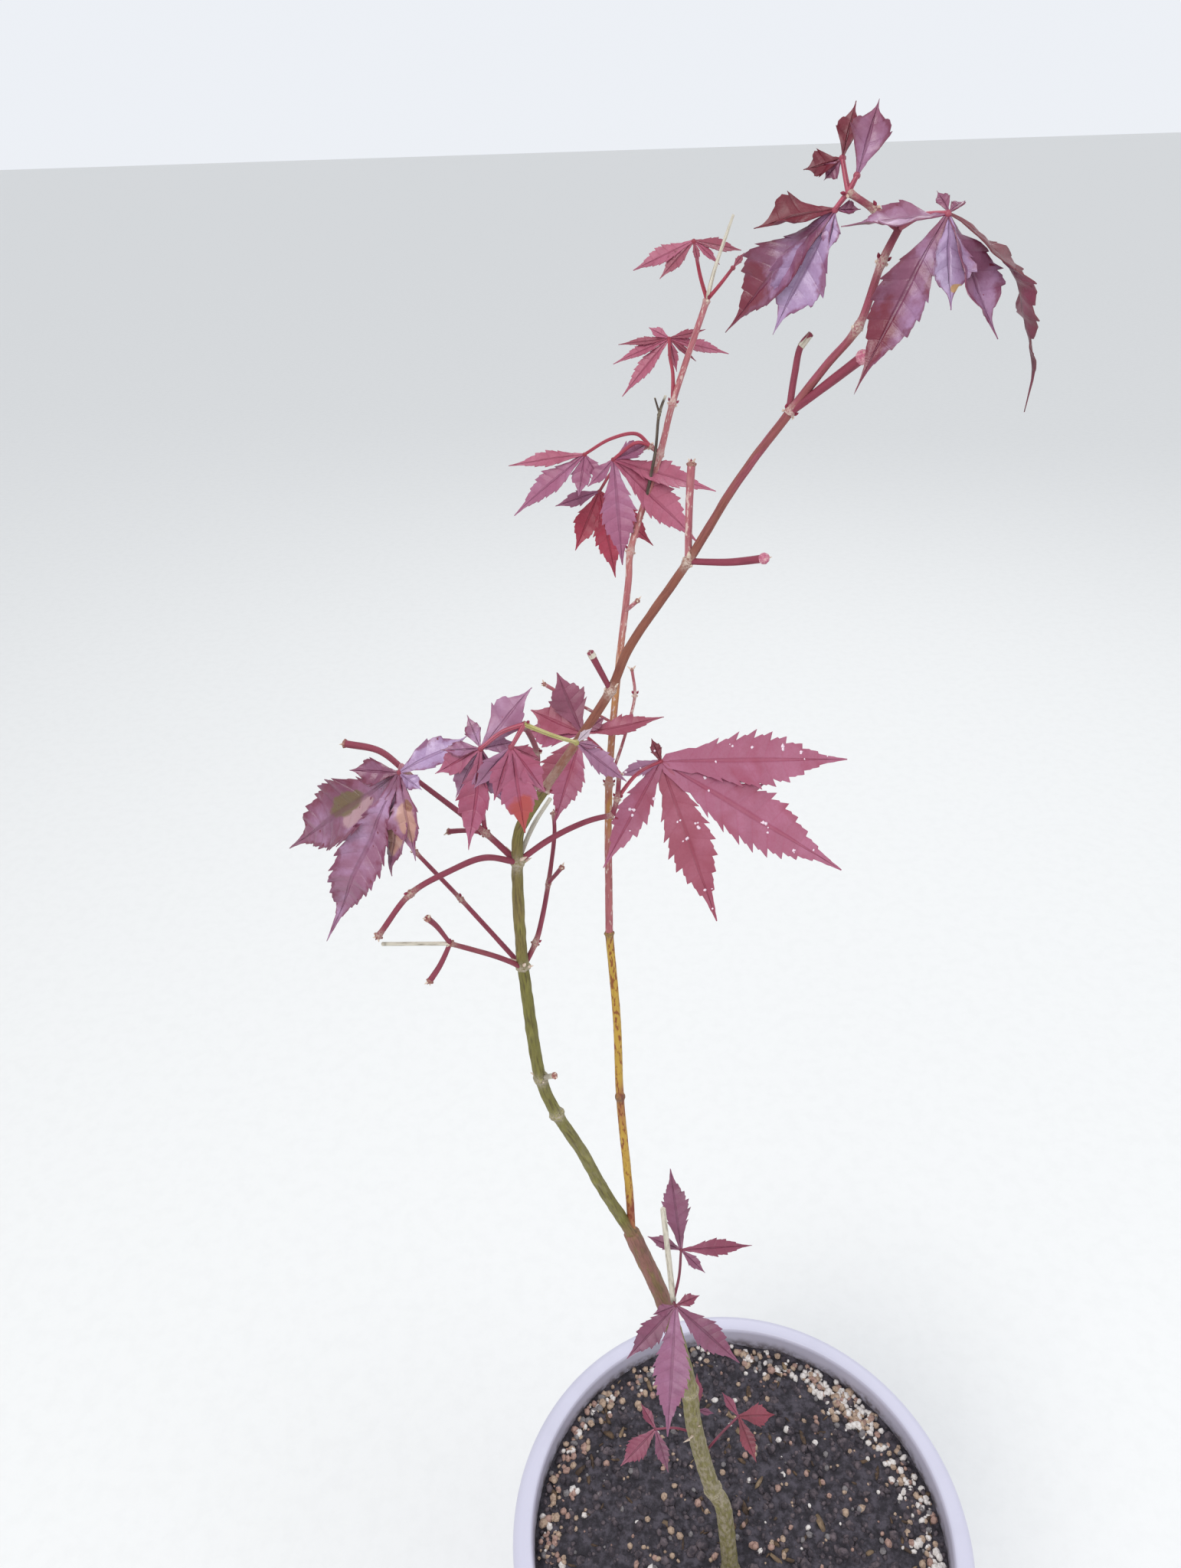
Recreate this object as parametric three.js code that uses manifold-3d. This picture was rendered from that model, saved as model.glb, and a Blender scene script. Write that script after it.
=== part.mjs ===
// A young maple in a round planter: two thin stems, whorls of bare twigs and a few dry red leaves.
// Units are millimetres and +Z is up. The origin is the centre of the planter's flat underside.

import * as THREE from 'three';
import { mergeVertices } from 'three/addons/utils/BufferGeometryUtils.js';
import Module from 'manifold-3d';

const wasm = await Module();
wasm.setup();

// Clearance between pieces that touch
const GAP = 0.3;

// Planter
const PLANTER_HEIGHT = 300;
const PLANTER_SIDES = 48;
const FOOT_RADIUS = 120;
const EDGE = 3;
const SHOULDER_RADIUS = 165;
const BELLY = 4;
const WALL_RINGS = 3;
const WALL = 4;
const FLOOR = 6;
const RIM_RADIUS = 178;
const RIM_INNER_RADIUS = 162;
const RIM_DEPTH = 34;
const RIM_ROUND = 7;
const RIM_ROUND_STEPS = 3;
const DRAIN_COUNT = 5;
const DRAIN_RADIUS = 6;
const DRAIN_RING_RADIUS = 72;
const DRAIN_SIDES = 8;

// Soil
const SOIL_LEVEL = 280;
const SOIL_FLAT_RADIUS = 70;
const SOIL_EDGE_DROP = 2;

// Where the trunk stands, how deep its line starts below the cut, and how its root flare fades upwards
const TRUNK_X = -8;
const TRUNK_Y = -26;
const TRUNK_START_DEPTH = 18;
const FLARE = 2.6;
const FLARE_HEIGHT = 17;
const UNDERGROUND_SIZE = 100;

// Limbs: corner counts, the spacing of their rows, and the swollen rings where leaf pairs grew
const STEM_SIDES = 8;
const TWIG_SIDES = 6;
const STALK_SIDES = 4;
const STEM_STEP = 20;
const TWIG_STEP = 9;
const RING_HALF_LENGTH = 1.6;
const RING_SWELL = 1.3;
const CURVE_SAMPLES = 16;

// A lobe of a leaf: rows from its foot to its tip as [share of its length, share of its half width].
// The width is a share of the length, and so is the thickness, down to a least thickness.
const TOOTHED_LOBE = [[0, 0.15], [0.2, 0.55], [0.27, 0.48], [0.43, 1], [0.52, 0.76], [0.7, 0.56]];
const PLAIN_LOBE = [[0, 0.25], [0.45, 1], [0.78, 0.5]];
const LOBE_TIP = [1, 0.03];
const TOOTHED_FROM = 32;
const LOBE_WIDTH = 0.27;
const LOBE_LEAST_HALF_WIDTH = 0.25;
const LOBE_THICKNESS = 1 / 65;
const LOBE_LEAST_THICKNESS = 0.7;
const LOBE_TROUGH = 0.06;
const DROOP_AT_HALF = 0.9;
const BROAD_LOBE_WIDTH = 0.36;
const BROADEST_LOBE_WIDTH = 0.48;
const HUB_RADIUS = 1.6;
const STALK_RADIUS = 0.8;
const SHOOT_RADIUS = [1.2, 1];

// Colours, with their roughness
const FINISH = {
  planter: [0xcfc8dc, 0.42],
  soil: [0x2b2220, 0.95],
  olive_bark: [0x77702f, 0.7],
  brown_bark: [0x8a4a3c, 0.6],
  yellow_bark: [0xc79a3a, 0.55],
  pink_bark: [0xc97d70, 0.55],
  maroon_twig: [0x7a3440, 0.55],
  dead_wood: [0xd9d2bd, 0.85],
  rose_leaf: [0xa8506e, 0.6],
  mauve_leaf: [0x7c3a55, 0.55],
  red_leaf: [0xb8485f, 0.6],
  wine_leaf: [0x7d3350, 0.6],
};

// The limbs in the order they grow. grows names the limb and the place on it where one starts. Each of its
// steps is [length, lean from upright, heading], where heading 0 is right, 90 is back and -90 is front.
// radius is its size at foot and tip, rings are its swollen places, and stubs are the cut shoots on it.
const LIMBS = [
  {
    name: 'trunk',
    finish: 'olive_bark',
    sides: STEM_SIDES,
    radius: [6.3, 4.7],
    steps: [
      [88, 5, 170], [36, 7, -175], [22, 19, 180], [96, 10, -170], [37, 5, 180], [96, 10, -175],
      [79, 15, -165],
    ],
    rings: [3, 5],
    flare: FLARE,
  },
  {
    name: 'stem_main_lower',
    finish: 'olive_bark',
    sides: STEM_SIDES,
    radius: [3.3, 2.7],
    grows: ['trunk', 7],
    steps: [[44, 21, -175], [36, 18, -170], [32, 21, -170], [29, 14, -165], [75, 4, -145]],
    rings: [3, 4],
    stubs: [{ at: 4, steps: [[11, 54, -35]], radius: [1.2, 1.4] }],
  },
  {
    name: 'stem_main_middle',
    finish: 'olive_bark',
    sides: STEM_SIDES,
    radius: [2.6, 2.3],
    grows: ['stem_main_lower', 5],
    steps: [[30, 0, 0], [30, 2, -10], [16, 8, 25], [22, 31, 10]],
    rings: [0, 2],
  },
  {
    name: 'stem_main_upper',
    finish: 'brown_bark',
    sides: STEM_SIDES,
    radius: [1.95, 1.5],
    grows: ['stem_main_middle', 4],
    steps: [[53, 33, 5], [19, 22, -5], [43, 32, -5], [35, 29, -15], [30, 34, -20]],
    rings: [0, 1, 3],
    stubs: [
      { at: 1, steps: [[21, 25, -150]], radius: [1.1, 1.4] },
      { at: 3, steps: [[19, 16, 85], [16, 11, 75]], radius: [1.3, 1.5] },
      { at: 3, steps: [[16, 82, -30], [15, 74, -35]], radius: [1.2, 1.5] },
    ],
  },
  {
    name: 'stem_main_tip',
    finish: 'brown_bark',
    sides: STEM_SIDES,
    radius: [1.5, 1.15],
    grows: ['stem_main_upper', 5],
    steps: [[19, 35, -20], [16, 37, -25], [20, 16, -20], [10, 24, 0]],
    rings: [0, 2, 3],
    stubs: [
      { at: 0, steps: [[13, 30, 70], [9, 19, 50], [5, 38, 0]], radius: [1.2, 1.1] },
      { at: 0, steps: [[17, 50, -25], [14, 50, -35]], radius: [1.3, 1.8] },
    ],
  },
  {
    name: 'stem_right_lower',
    finish: 'yellow_bark',
    sides: STEM_SIDES,
    radius: [2.25, 2],
    grows: ['trunk', 7],
    steps: [[30, 7, 105], [66, 10, 110], [49, 10, 95], [50, 12, 105]],
    rings: [2, 4],
  },
  {
    name: 'stem_right_upper',
    finish: 'pink_bark',
    sides: TWIG_SIDES,
    radius: [1.9, 1.35],
    grows: ['stem_right_lower', 4],
    steps: [[77, 17, 85], [49, 24, 75], [48, 19, 65], [14, 35, 80], [46, 30, 50], [23, 28, 55], [46, 23, 30]],
    rings: [1, 4, 5, 6, 7],
    stubs: [
      { at: 2.7, steps: [[13, 48, -55]], radius: [0.8, 1] },
      { at: 1.6, steps: [[20, 56, 180], [20, 52, -170]], radius: [0.7, 0.9] },
    ],
  },
  {
    name: 'twig_low_back',
    finish: 'maroon_twig',
    radius: [1.2, 1],
    grows: ['stem_main_lower', 5],
    steps: [[31, 53, 145], [12, 60, 140], [32, 62, 140]],
    rings: [2, 3],
  },
  {
    name: 'twig_low_forked',
    finish: 'maroon_twig',
    radius: [1.3, 1.1],
    grows: ['stem_main_lower', 5],
    steps: [[15, 45, -150], [32, 49, -145]],
    rings: [2],
    stubs: [
      { at: 2, steps: [[14, 24, -135], [9, 32, -125]], radius: [0.9, 1.3] },
      { at: 2, steps: [[12, 152, -160], [8, 132, -140]], radius: [1, 1.4] },
    ],
  },
  {
    name: 'twig_low_right',
    finish: 'maroon_twig',
    radius: [1.3, 0.9],
    grows: ['stem_main_lower', 5],
    steps: [[13, 38, 40], [10, 44, 65], [18, 38, 70], [23, 27, 70], [10, 25, 90]],
    rings: [1, 3, 5],
    stubs: [{ at: 3, steps: [[18, 36, -50]], radius: [0.8, 1.1] }],
  },
  {
    name: 'dead_twig_low',
    finish: 'dead_wood',
    radius: [0.9, 0.85],
    grows: ['twig_low_forked', 2],
    steps: [[31, 69, -155]],
  },
  {
    name: 'twig_high_front',
    finish: 'maroon_twig',
    radius: [1.4, 1.15],
    grows: ['stem_main_middle', 2],
    steps: [[20, 58, -140], [17, 84, -140], [19, 99, -145], [22, 133, -150]],
    rings: [3, 4],
  },
  {
    name: 'twig_high_left',
    finish: 'maroon_twig',
    radius: [1.5, 1],
    grows: ['stem_main_middle', 2],
    steps: [[19, 45, 165], [38, 42, -175], [8, 37, -155]],
    rings: [1, 3],
    stubs: [
      { at: 1, steps: [[10, 22, 105]], radius: [0.9, 1.2] },
      { at: 1, steps: [[9, 97, 155], [10, 107, 155]], radius: [0.9, 1.2] },
    ],
  },
  {
    name: 'twig_high_right',
    finish: 'maroon_twig',
    radius: [1.4, 1.2],
    grows: ['stem_main_middle', 2],
    steps: [[19, 57, 10], [17, 72, 15], [11, 86, 15]],
    rings: [3],
  },
  {
    name: 'dead_twig_high',
    finish: 'dead_wood',
    radius: [1.1, 0.9],
    grows: ['stem_main_middle', 2],
    steps: [[18, 42, 50], [14, 64, 55]],
  },
  {
    name: 'bud_twig_left',
    finish: 'maroon_twig',
    radius: [1.2, 1.6],
    grows: ['twig_high_left', 3],
    steps: [[16, 74, 140], [16, 87, 160]],
  },
  {
    name: 'twig_right_thin',
    finish: 'pink_bark',
    radius: [0.8, 0.7],
    grows: ['stem_right_upper', 1],
    steps: [[28, 28, 45], [17, 20, 45], [12, 20, 105]],
    rings: [2],
  },
  {
    name: 'dead_twig_right_dark',
    finish: 'dead_wood',
    radius: [0.8, 0.6],
    grows: ['stem_right_upper', 4.5],
    steps: [[23, 16, 40], [17, 12, 55], [8, 26, 35]],
    rings: [2],
    stubs: [{ at: 2, steps: [[7, 24, 135]], radius: [0.5, 0.4] }],
  },
  {
    name: 'dead_twig_right_top',
    finish: 'dead_wood',
    radius: [1, 0.6],
    grows: ['stem_right_upper', 7],
    steps: [[12, 14, -25], [24, 20, -30]],
  },
  {
    name: 'shoot_low',
    finish: 'maroon_twig',
    radius: [1.6, 1.2],
    grows: ['trunk', 5],
    steps: [[69, 11, -135], [53, 8, -120]],
    rings: [2],
  },
  {
    name: 'dead_twig_shoot_low',
    finish: 'dead_wood',
    radius: [1.7, 1.5],
    grows: ['shoot_low', 2],
    steps: [[87, 5, -155]],
  },
];

// The masses of leaves. A mass starts like a limb, and its shoot is a soft twig that goes on from there.
// A leaf's stalk leaves the shoot's tip, or the place on it that from gives. faces is the heading and the
// rise of its upper side, and each lobe is [turn from level right, length, droop below the leaf's plane].
// A fourth number is the share of the droop that an arched lobe has half way along.
const MASSES = [
  {
    name: 'leaves_middle_right',
    finish: 'rose_leaf',
    grows: ['twig_high_right', 3],
    shoot: [[8, 17, 30], [12, 7, 40]],
    leaves: [
      {
        from: 1,
        stalk: [[14, 63, 45], [18, 96, 50]],
        faces: [-78, 42],
        lobes: [[106, 11, -15], [-5, 97, 12], [-35, 107, 16], [-76, 79, 18], [-127, 54, 14], [-170, 21, 5]],
      },
      {
        stalk: [[21, 89, 110], [24, 99, 110]],
        faces: [-95, 48],
        lobes: [
          [12, 38, 0], [34, 13, -10], [115, 30, -20], [158, 26, -8], [177, 28, 5], [-127, 41, 25],
          [-107, 44, 15],
        ],
      },
    ],
  },
  {
    name: 'leaves_far_left',
    finish: 'mauve_leaf',
    grows: ['twig_high_left', 3],
    leaves: [
      {
        stalk: [[18, 51, -85], [13, 72, -85]],
        faces: [-105, 28],
        width: BROAD_LOBE_WIDTH,
        lobes: [
          [33, 30, 5], [-176, 21, 0], [-146, 80, 25], [-117, 92, 20], [-101, 50, 25], [-82, 37, 15],
          [-34, 11, 10],
        ],
      },
    ],
  },
  {
    name: 'leaves_front',
    finish: 'rose_leaf',
    grows: ['stem_main_middle', 4],
    shoot: [[25, 54, -95], [37, 38, -85], [26, 39, -100]],
    leaves: [
      {
        stalk: [[8, 107, -175], [11, 131, 170]],
        faces: [-100, 30],
        width: BROADEST_LOBE_WIDTH,
        lobes: [[52, 28, 0], [117, 13, 10], [-151, 26, 20], [-99, 37, 20], [-122, 24, 30]],
      },
      {
        stalk: [[9, 137, -140]],
        faces: [-80, 35],
        width: BROADEST_LOBE_WIDTH,
        lobes: [[-114, 21, 25], [-86, 33, 25], [-58, 21, 20]],
      },
      {
        stalk: [[11, 114, -5], [9, 117, 15]],
        faces: [-70, 40],
        lobes: [[-20, 9, 10], [-44, 25, 20], [30, 8, 0]],
      },
    ],
  },
  {
    name: 'leaves_top',
    finish: 'mauve_leaf',
    grows: ['stem_main_tip', 4],
    shoot: [[9, 57, 155], [10, 59, 170]],
    leaves: [
      {
        from: 0,
        stalk: [[9, 63, -50], [8, 83, -40]],
        faces: [-85, 70],
        width: BROAD_LOBE_WIDTH,
        lobes: [
          [161, 31, 14], [97, 9, -10], [40, 9, 5], [-26, 70, 55, 0.3], [-44, 40, 50], [-85, 27, 50],
          [-137, 56, 50],
        ],
      },
      {
        stalk: [[6, 142, 160]],
        faces: [-105, 50],
        width: BROAD_LOBE_WIDTH,
        lobes: [[-148, 50, 38], [-124, 40, 42], [-170, 25, 5], [10, 8, 10], [-97, 13, 40]],
      },
      {
        stalk: [[5, 31, 110], [5, 24, 115]],
        faces: [-100, 20],
        width: BROADEST_LOBE_WIDTH,
        lobes: [[80, 16, 0], [-168, 12, 15], [-134, 8, 25]],
      },
      {
        stalk: [[5, 26, -15]],
        faces: [-80, 20],
        width: BROADEST_LOBE_WIDTH,
        lobes: [[69, 22, 0]],
      },
    ],
  },
  {
    name: 'leaves_right_end',
    finish: 'red_leaf',
    grows: ['stem_right_upper', 7],
    leaves: [
      {
        stalk: [[11, 19, 155], [14, 13, -165]],
        faces: [-90, 55],
        lobes: [[-173, 29, 25], [-145, 21, 30], [-76, 10, 35], [-30, 15, 30], [5, 23, 20]],
      },
    ],
  },
  {
    name: 'leaf_bud_right_end',
    finish: 'red_leaf',
    grows: ['stem_right_upper', 7],
    leaves: [{ stalk: [[8, 42, -25], [10, 40, -30]], faces: [-90, 30], lobes: [[51, 8, 0]] }],
  },
  {
    name: 'leaves_right_middle',
    finish: 'red_leaf',
    grows: ['stem_right_upper', 6],
    leaves: [
      {
        stalk: [[13, 21, 85], [9, 41, 100], [8, 34, 90]],
        faces: [-90, 50],
        lobes: [
          [174, 24, 15], [-168, 28, 20], [-140, 33, 30], [145, 11, 0], [18, 18, 5], [-3, 30, 20],
          [-32, 16, 25], [-74, 15, 35],
        ],
      },
    ],
  },
  {
    name: 'leaves_right_cluster',
    finish: 'red_leaf',
    grows: ['stem_right_upper', 5],
    shoot: [[6, 53, 165]],
    leaves: [
      {
        stalk: [[8, 52, 160], [12, 100, 175], [14, 116, -170]],
        faces: [-95, 50],
        lobes: [[-178, 37, 10], [-148, 44, 25], [-101, 19, 35], [-52, 13, 30]],
      },
      {
        stalk: [[7, 72, -160], [13, 118, -160]],
        faces: [-85, 50],
        lobes: [[-147, 17, 30], [-87, 38, 35], [-40, 55, 25], [-14, 51, 15], [25, 19, 5]],
      },
      {
        stalk: [[12, 116, 115], [18, 127, 145], [14, 145, 150]],
        faces: [-90, 35],
        lobes: [[-166, 23, 10], [-116, 31, 20], [-80, 50, 25], [-43, 35, 20]],
      },
    ],
  },
  {
    name: 'leaves_low_upper',
    finish: 'wine_leaf',
    grows: ['shoot_low', 2],
    leaves: [
      {
        stalk: [[26, 7, -20], [20, 6, 65]],
        faces: [-85, 60],
        lobes: [[90, 44, 0], [152, 20, 5], [-2, 41, 5], [-47, 18, 10]],
      },
    ],
  },
  {
    name: 'leaves_low_lower',
    finish: 'wine_leaf',
    grows: ['shoot_low', 2],
    leaves: [
      {
        stalk: [[6, 60, -80]],
        faces: [-90, 60],
        lobes: [[-97, 68, 12], [-138, 40, 10], [-41, 47, 10], [19, 15, 0], [-162, 14, 5]],
      },
    ],
  },
  {
    name: 'leaves_low_left',
    finish: 'wine_leaf',
    grows: ['trunk', 3.82],
    leaves: [
      {
        stalk: [[15, 68, 175], [14, 91, 180]],
        faces: [-95, 60],
        lobes: [[125, 18, 0], [-135, 33, 10], [-70, 27, 10]],
      },
    ],
  },
  {
    name: 'leaves_low_right',
    finish: 'wine_leaf',
    grows: ['trunk', 3.52],
    leaves: [
      {
        stalk: [[20, 43, 25], [17, 62, 30]],
        faces: [-85, 62],
        lobes: [[-4, 25, 0], [-74, 30, 10], [120, 18, 0]],
      },
    ],
  },
  {
    name: 'leaves_low_behind',
    finish: 'wine_leaf',
    grows: ['trunk', 3.76],
    leaves: [
      {
        stalk: [[12, 38, 90], [6, 45, 90]],
        faces: [-80, 60],
        lobes: [[-21, 12, 0], [77, 22, 0], [130, 16, 0]],
      },
    ],
  },
];

// Turns a closed three.js geometry into a solid that can be cut and joined
function solid(geometry) {
  geometry.deleteAttribute('normal');
  geometry.deleteAttribute('uv');
  const closed = mergeVertices(geometry);
  return new wasm.Manifold(new wasm.Mesh({
    numProp: 3,
    vertProperties: new Float32Array(closed.attributes.position.array),
    triVerts: new Uint32Array(closed.index.array),
  }));
}

// Turns a solid back into a named mesh with its finish
function mesh(name, body, finish) {
  const { vertProperties, triVerts } = body.getMesh();
  const geometry = new THREE.BufferGeometry();
  geometry.setAttribute('position', new THREE.BufferAttribute(vertProperties, 3));
  geometry.setIndex(new THREE.BufferAttribute(triVerts, 1));
  const [color, roughness] = FINISH[finish];
  const result = new THREE.Mesh(geometry, new THREE.MeshStandardMaterial({ color, roughness, metalness: 0 }));
  result.name = name;
  return result;
}

const radians = THREE.MathUtils.degToRad;
const lerp = THREE.MathUtils.lerp;

// The places reached from start by steps of [length, lean from upright, heading]
function walk(start, steps) {
  const places = [start];
  for (const [length, lean, heading] of steps) {
    const level = length * Math.sin(radians(lean));
    const step = new THREE.Vector3(
      level * Math.cos(radians(heading)),
      level * Math.sin(radians(heading)),
      length * Math.cos(radians(lean)),
    );
    places.push(step.add(places[places.length - 1]));
  }
  return places;
}

// The place at an index along a limb, where a fraction lies between two places
function placeOn(places, index) {
  const before = Math.floor(index);
  const after = Math.min(before + 1, places.length - 1);
  return places[before].clone().lerp(places[after], index - before);
}

// A closed skin over rows of corners. The rows run along the piece, and each turns the same way round it.
function loft(rows) {
  const corners = rows[0].length;
  const points = rows.flat();
  const triangles = [];
  const last = (rows.length - 1) * corners;
  for (let j = 0; j < corners; j += 1) {
    const next = (j + 1) % corners;
    for (let start = 0; start < last; start += corners) {
      triangles.push(start + j, start + next, start + corners + next);
      triangles.push(start + j, start + corners + next, start + corners + j);
    }
    if (j > 0 && j < corners - 1) {
      triangles.push(0, next, j);
      triangles.push(last, last + j, last + next);
    }
  }
  const geometry = new THREE.BufferGeometry().setFromPoints(points);
  geometry.setIndex(triangles);
  return solid(geometry);
}

// A tapering limb through its places. A row of corners stands at each step, and three at each ring.
// extra widens and lengthens it, which gives the shape that its neighbours are cut back by.
function limb({ places, radius, rings = [], sides = TWIG_SIDES, flare = 0 }, extra = 0) {
  const curve = new THREE.CatmullRomCurve3(places, false, 'centripetal');
  const lengths = curve.getLengths((places.length - 1) * CURVE_SAMPLES);
  const total = lengths[lengths.length - 1];
  const ringAt = rings.map((index) => lengths[index * CURVE_SAMPLES]);
  const marks = new Set([0, total]);
  const count = Math.max(1, Math.round(total / (sides === STEM_SIDES ? STEM_STEP : TWIG_STEP)));
  for (let i = 1; i < count; i += 1) {
    const along = (total * i) / count;
    if (ringAt.every((ring) => Math.abs(ring - along) > 3 * RING_HALF_LENGTH)) marks.add(along);
  }
  for (const ring of ringAt) {
    for (const offset of [-RING_HALF_LENGTH, 0, RING_HALF_LENGTH]) {
      if (ring + offset > 0 && ring + offset < total) marks.add(ring + offset);
    }
  }
  let across = new THREE.Vector3(1, 0, 0);
  const rows = [...marks].sort((a, b) => a - b).map((along) => {
    const share = along / total;
    const centre = curve.getPointAt(share);
    const tangent = curve.getTangentAt(share);
    across = across.clone().addScaledVector(tangent, -across.dot(tangent)).normalize();
    const up = tangent.clone().cross(across);
    if (along === 0) centre.addScaledVector(tangent, -extra);
    if (along === total) centre.addScaledVector(tangent, extra);
    const swell = ringAt.some((ring) => Math.abs(ring - along) < 0.5 * RING_HALF_LENGTH) ? RING_SWELL : 1;
    const aboveSoil = Math.max(0, centre.z - SOIL_LEVEL);
    const spread = flare * Math.max(0, 1 - aboveSoil / FLARE_HEIGHT);
    const size = lerp(radius[0], radius[1], share) * swell + spread + extra;
    return Array.from({ length: sides }, (_, j) => {
      const angle = (2 * Math.PI * j) / sides;
      return centre.clone()
        .addScaledVector(across, size * Math.cos(angle))
        .addScaledVector(up, size * Math.sin(angle));
    });
  });
  return loft(rows);
}

// The leaf's own directions: level right, up the blade, and out of its upper side
function leafAxes([heading, rise]) {
  const out = walk(new THREE.Vector3(), [[1, 90 - rise, heading]])[1];
  const right = new THREE.Vector3(0, 0, 1).cross(out).normalize();
  return { right, up: out.clone().cross(right), out };
}

// One lobe: a thin blade with a shallow trough along its midrib, which bends down towards its tip
function lobe(at, { right, up, out }, width, [turn, length, droop, atHalf = DROOP_AT_HALF]) {
  const along = right.clone().multiplyScalar(Math.cos(radians(turn)));
  along.addScaledVector(up, Math.sin(radians(turn)));
  const reach = (share, bend) => at.clone()
    .addScaledVector(along, length * share * Math.cos(radians(bend)))
    .addScaledVector(out, -length * share * Math.sin(radians(bend)));
  const curve = new THREE.QuadraticBezierCurve3(at, reach(0.5, droop * atHalf), reach(1, droop));
  const side = out.clone().cross(along);
  const halfWidth = (length * width) / 2;
  const halfThickness = Math.max(length * LOBE_THICKNESS, LOBE_LEAST_THICKNESS) / 2;
  const outline = length < TOOTHED_FROM ? PLAIN_LOBE : TOOTHED_LOBE;
  const rows = [...outline, LOBE_TIP].map(([share, breadth]) => {
    const centre = curve.getPoint(share);
    const face = curve.getTangent(share).cross(side);
    const half = Math.max(halfWidth * breadth, LOBE_LEAST_HALF_WIDTH);
    const thick = share === 1 ? halfThickness / 3 : halfThickness;
    const edge = LOBE_TROUGH * half;
    return [
      centre.clone().addScaledVector(side, half).addScaledVector(face, edge),
      centre.clone().addScaledVector(face, thick),
      centre.clone().addScaledVector(side, -half).addScaledVector(face, edge),
      centre.clone().addScaledVector(face, -thick),
    ];
  });
  return loft(rows);
}

// The planter wall's outer radius at a share of the way from foot to shoulder
function wallRadius(share) {
  return lerp(FOOT_RADIUS, SHOULDER_RADIUS, share) + BELLY * Math.sin(Math.PI * share);
}

// The wall's profile from foot to shoulder, moved in by inset, and no lower than lowest
function wallProfile(inset, lowest) {
  return Array.from({ length: WALL_RINGS + 1 }, (_, i) => {
    const share = i / WALL_RINGS;
    return [wallRadius(share) - inset, Math.max(lowest, lerp(EDGE, PLANTER_HEIGHT - RIM_DEPTH, share))];
  });
}

// A solid turned round the upright axis from a profile of [radius, height]
function turned(profile) {
  const points = profile.map(([radius, height]) => new THREE.Vector2(radius, height));
  return solid(new THREE.LatheGeometry(points, PLANTER_SIDES).rotateX(Math.PI / 2));
}

function planter() {
  const rimFoot = PLANTER_HEIGHT - RIM_DEPTH;
  const rimRound = Array.from({ length: RIM_ROUND_STEPS + 1 }, (_, i) => {
    const angle = (Math.PI / 2) * (i / RIM_ROUND_STEPS);
    return [
      RIM_RADIUS - RIM_ROUND * (1 - Math.cos(angle)),
      PLANTER_HEIGHT - RIM_ROUND * (1 - Math.sin(angle)),
    ];
  });
  let body = turned([
    [0, 0],
    [FOOT_RADIUS - EDGE, 0],
    ...wallProfile(0, 0),
    [RIM_RADIUS - EDGE, rimFoot],
    [RIM_RADIUS, rimFoot + EDGE],
    ...rimRound,
    [RIM_INNER_RADIUS + EDGE, PLANTER_HEIGHT],
    [RIM_INNER_RADIUS, PLANTER_HEIGHT - EDGE],
    ...wallProfile(WALL, FLOOR).reverse(),
    [0, FLOOR],
  ]);
  for (let i = 0; i < DRAIN_COUNT; i += 1) {
    const angle = (2 * Math.PI * i) / DRAIN_COUNT;
    const drain = new THREE.CylinderGeometry(DRAIN_RADIUS, DRAIN_RADIUS, 4 * FLOOR, DRAIN_SIDES);
    drain.rotateX(Math.PI / 2);
    drain.translate(DRAIN_RING_RADIUS * Math.cos(angle), DRAIN_RING_RADIUS * Math.sin(angle), 0);
    body = body.subtract(solid(drain));
  }
  return body;
}

function soil() {
  const top = SOIL_LEVEL - GAP;
  return turned([
    [0, FLOOR + GAP],
    ...wallProfile(WALL + GAP, FLOOR + GAP),
    [SHOULDER_RADIUS - WALL - GAP, top - SOIL_EDGE_DROP],
    [SOIL_FLAT_RADIUS, top],
    [0, top],
  ]);
}

const maple = new THREE.Group();
maple.add(mesh('planter', planter(), 'planter'));
maple.add(mesh('soil', soil(), 'soil'));

// The places of each limb, by its name, and the shapes that whatever grows later is cut back by.
// The first of them is the ground, which cuts the trunk off level with the soil.
const placesOf = {};
const ground = new THREE.BoxGeometry(UNDERGROUND_SIZE, UNDERGROUND_SIZE, UNDERGROUND_SIZE);
const grown = [solid(ground.translate(TRUNK_X, TRUNK_Y, SOIL_LEVEL - UNDERGROUND_SIZE / 2))];

// Joins the parts of a piece and cuts it back GAP clear of what grew before it
function grow(parts) {
  const body = parts.reduce((sum, part) => sum.add(part));
  return grown.reduce((rest, other) => rest.subtract(other), body);
}

function startOf({ grows }) {
  if (!grows) return new THREE.Vector3(TRUNK_X, TRUNK_Y, SOIL_LEVEL - TRUNK_START_DEPTH);
  return placeOn(placesOf[grows[0]], grows[1]);
}

for (const one of LIMBS) {
  const places = walk(startOf(one), one.steps);
  placesOf[one.name] = places;
  const parts = [{ ...one, places }];
  for (const stub of one.stubs ?? []) {
    parts.push({ ...stub, places: walk(placeOn(places, stub.at), stub.steps) });
  }
  maple.add(mesh(one.name, grow(parts.map((part) => limb(part))), one.finish));
  grown.push(...parts.map((part) => limb(part, GAP)));
}

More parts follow.
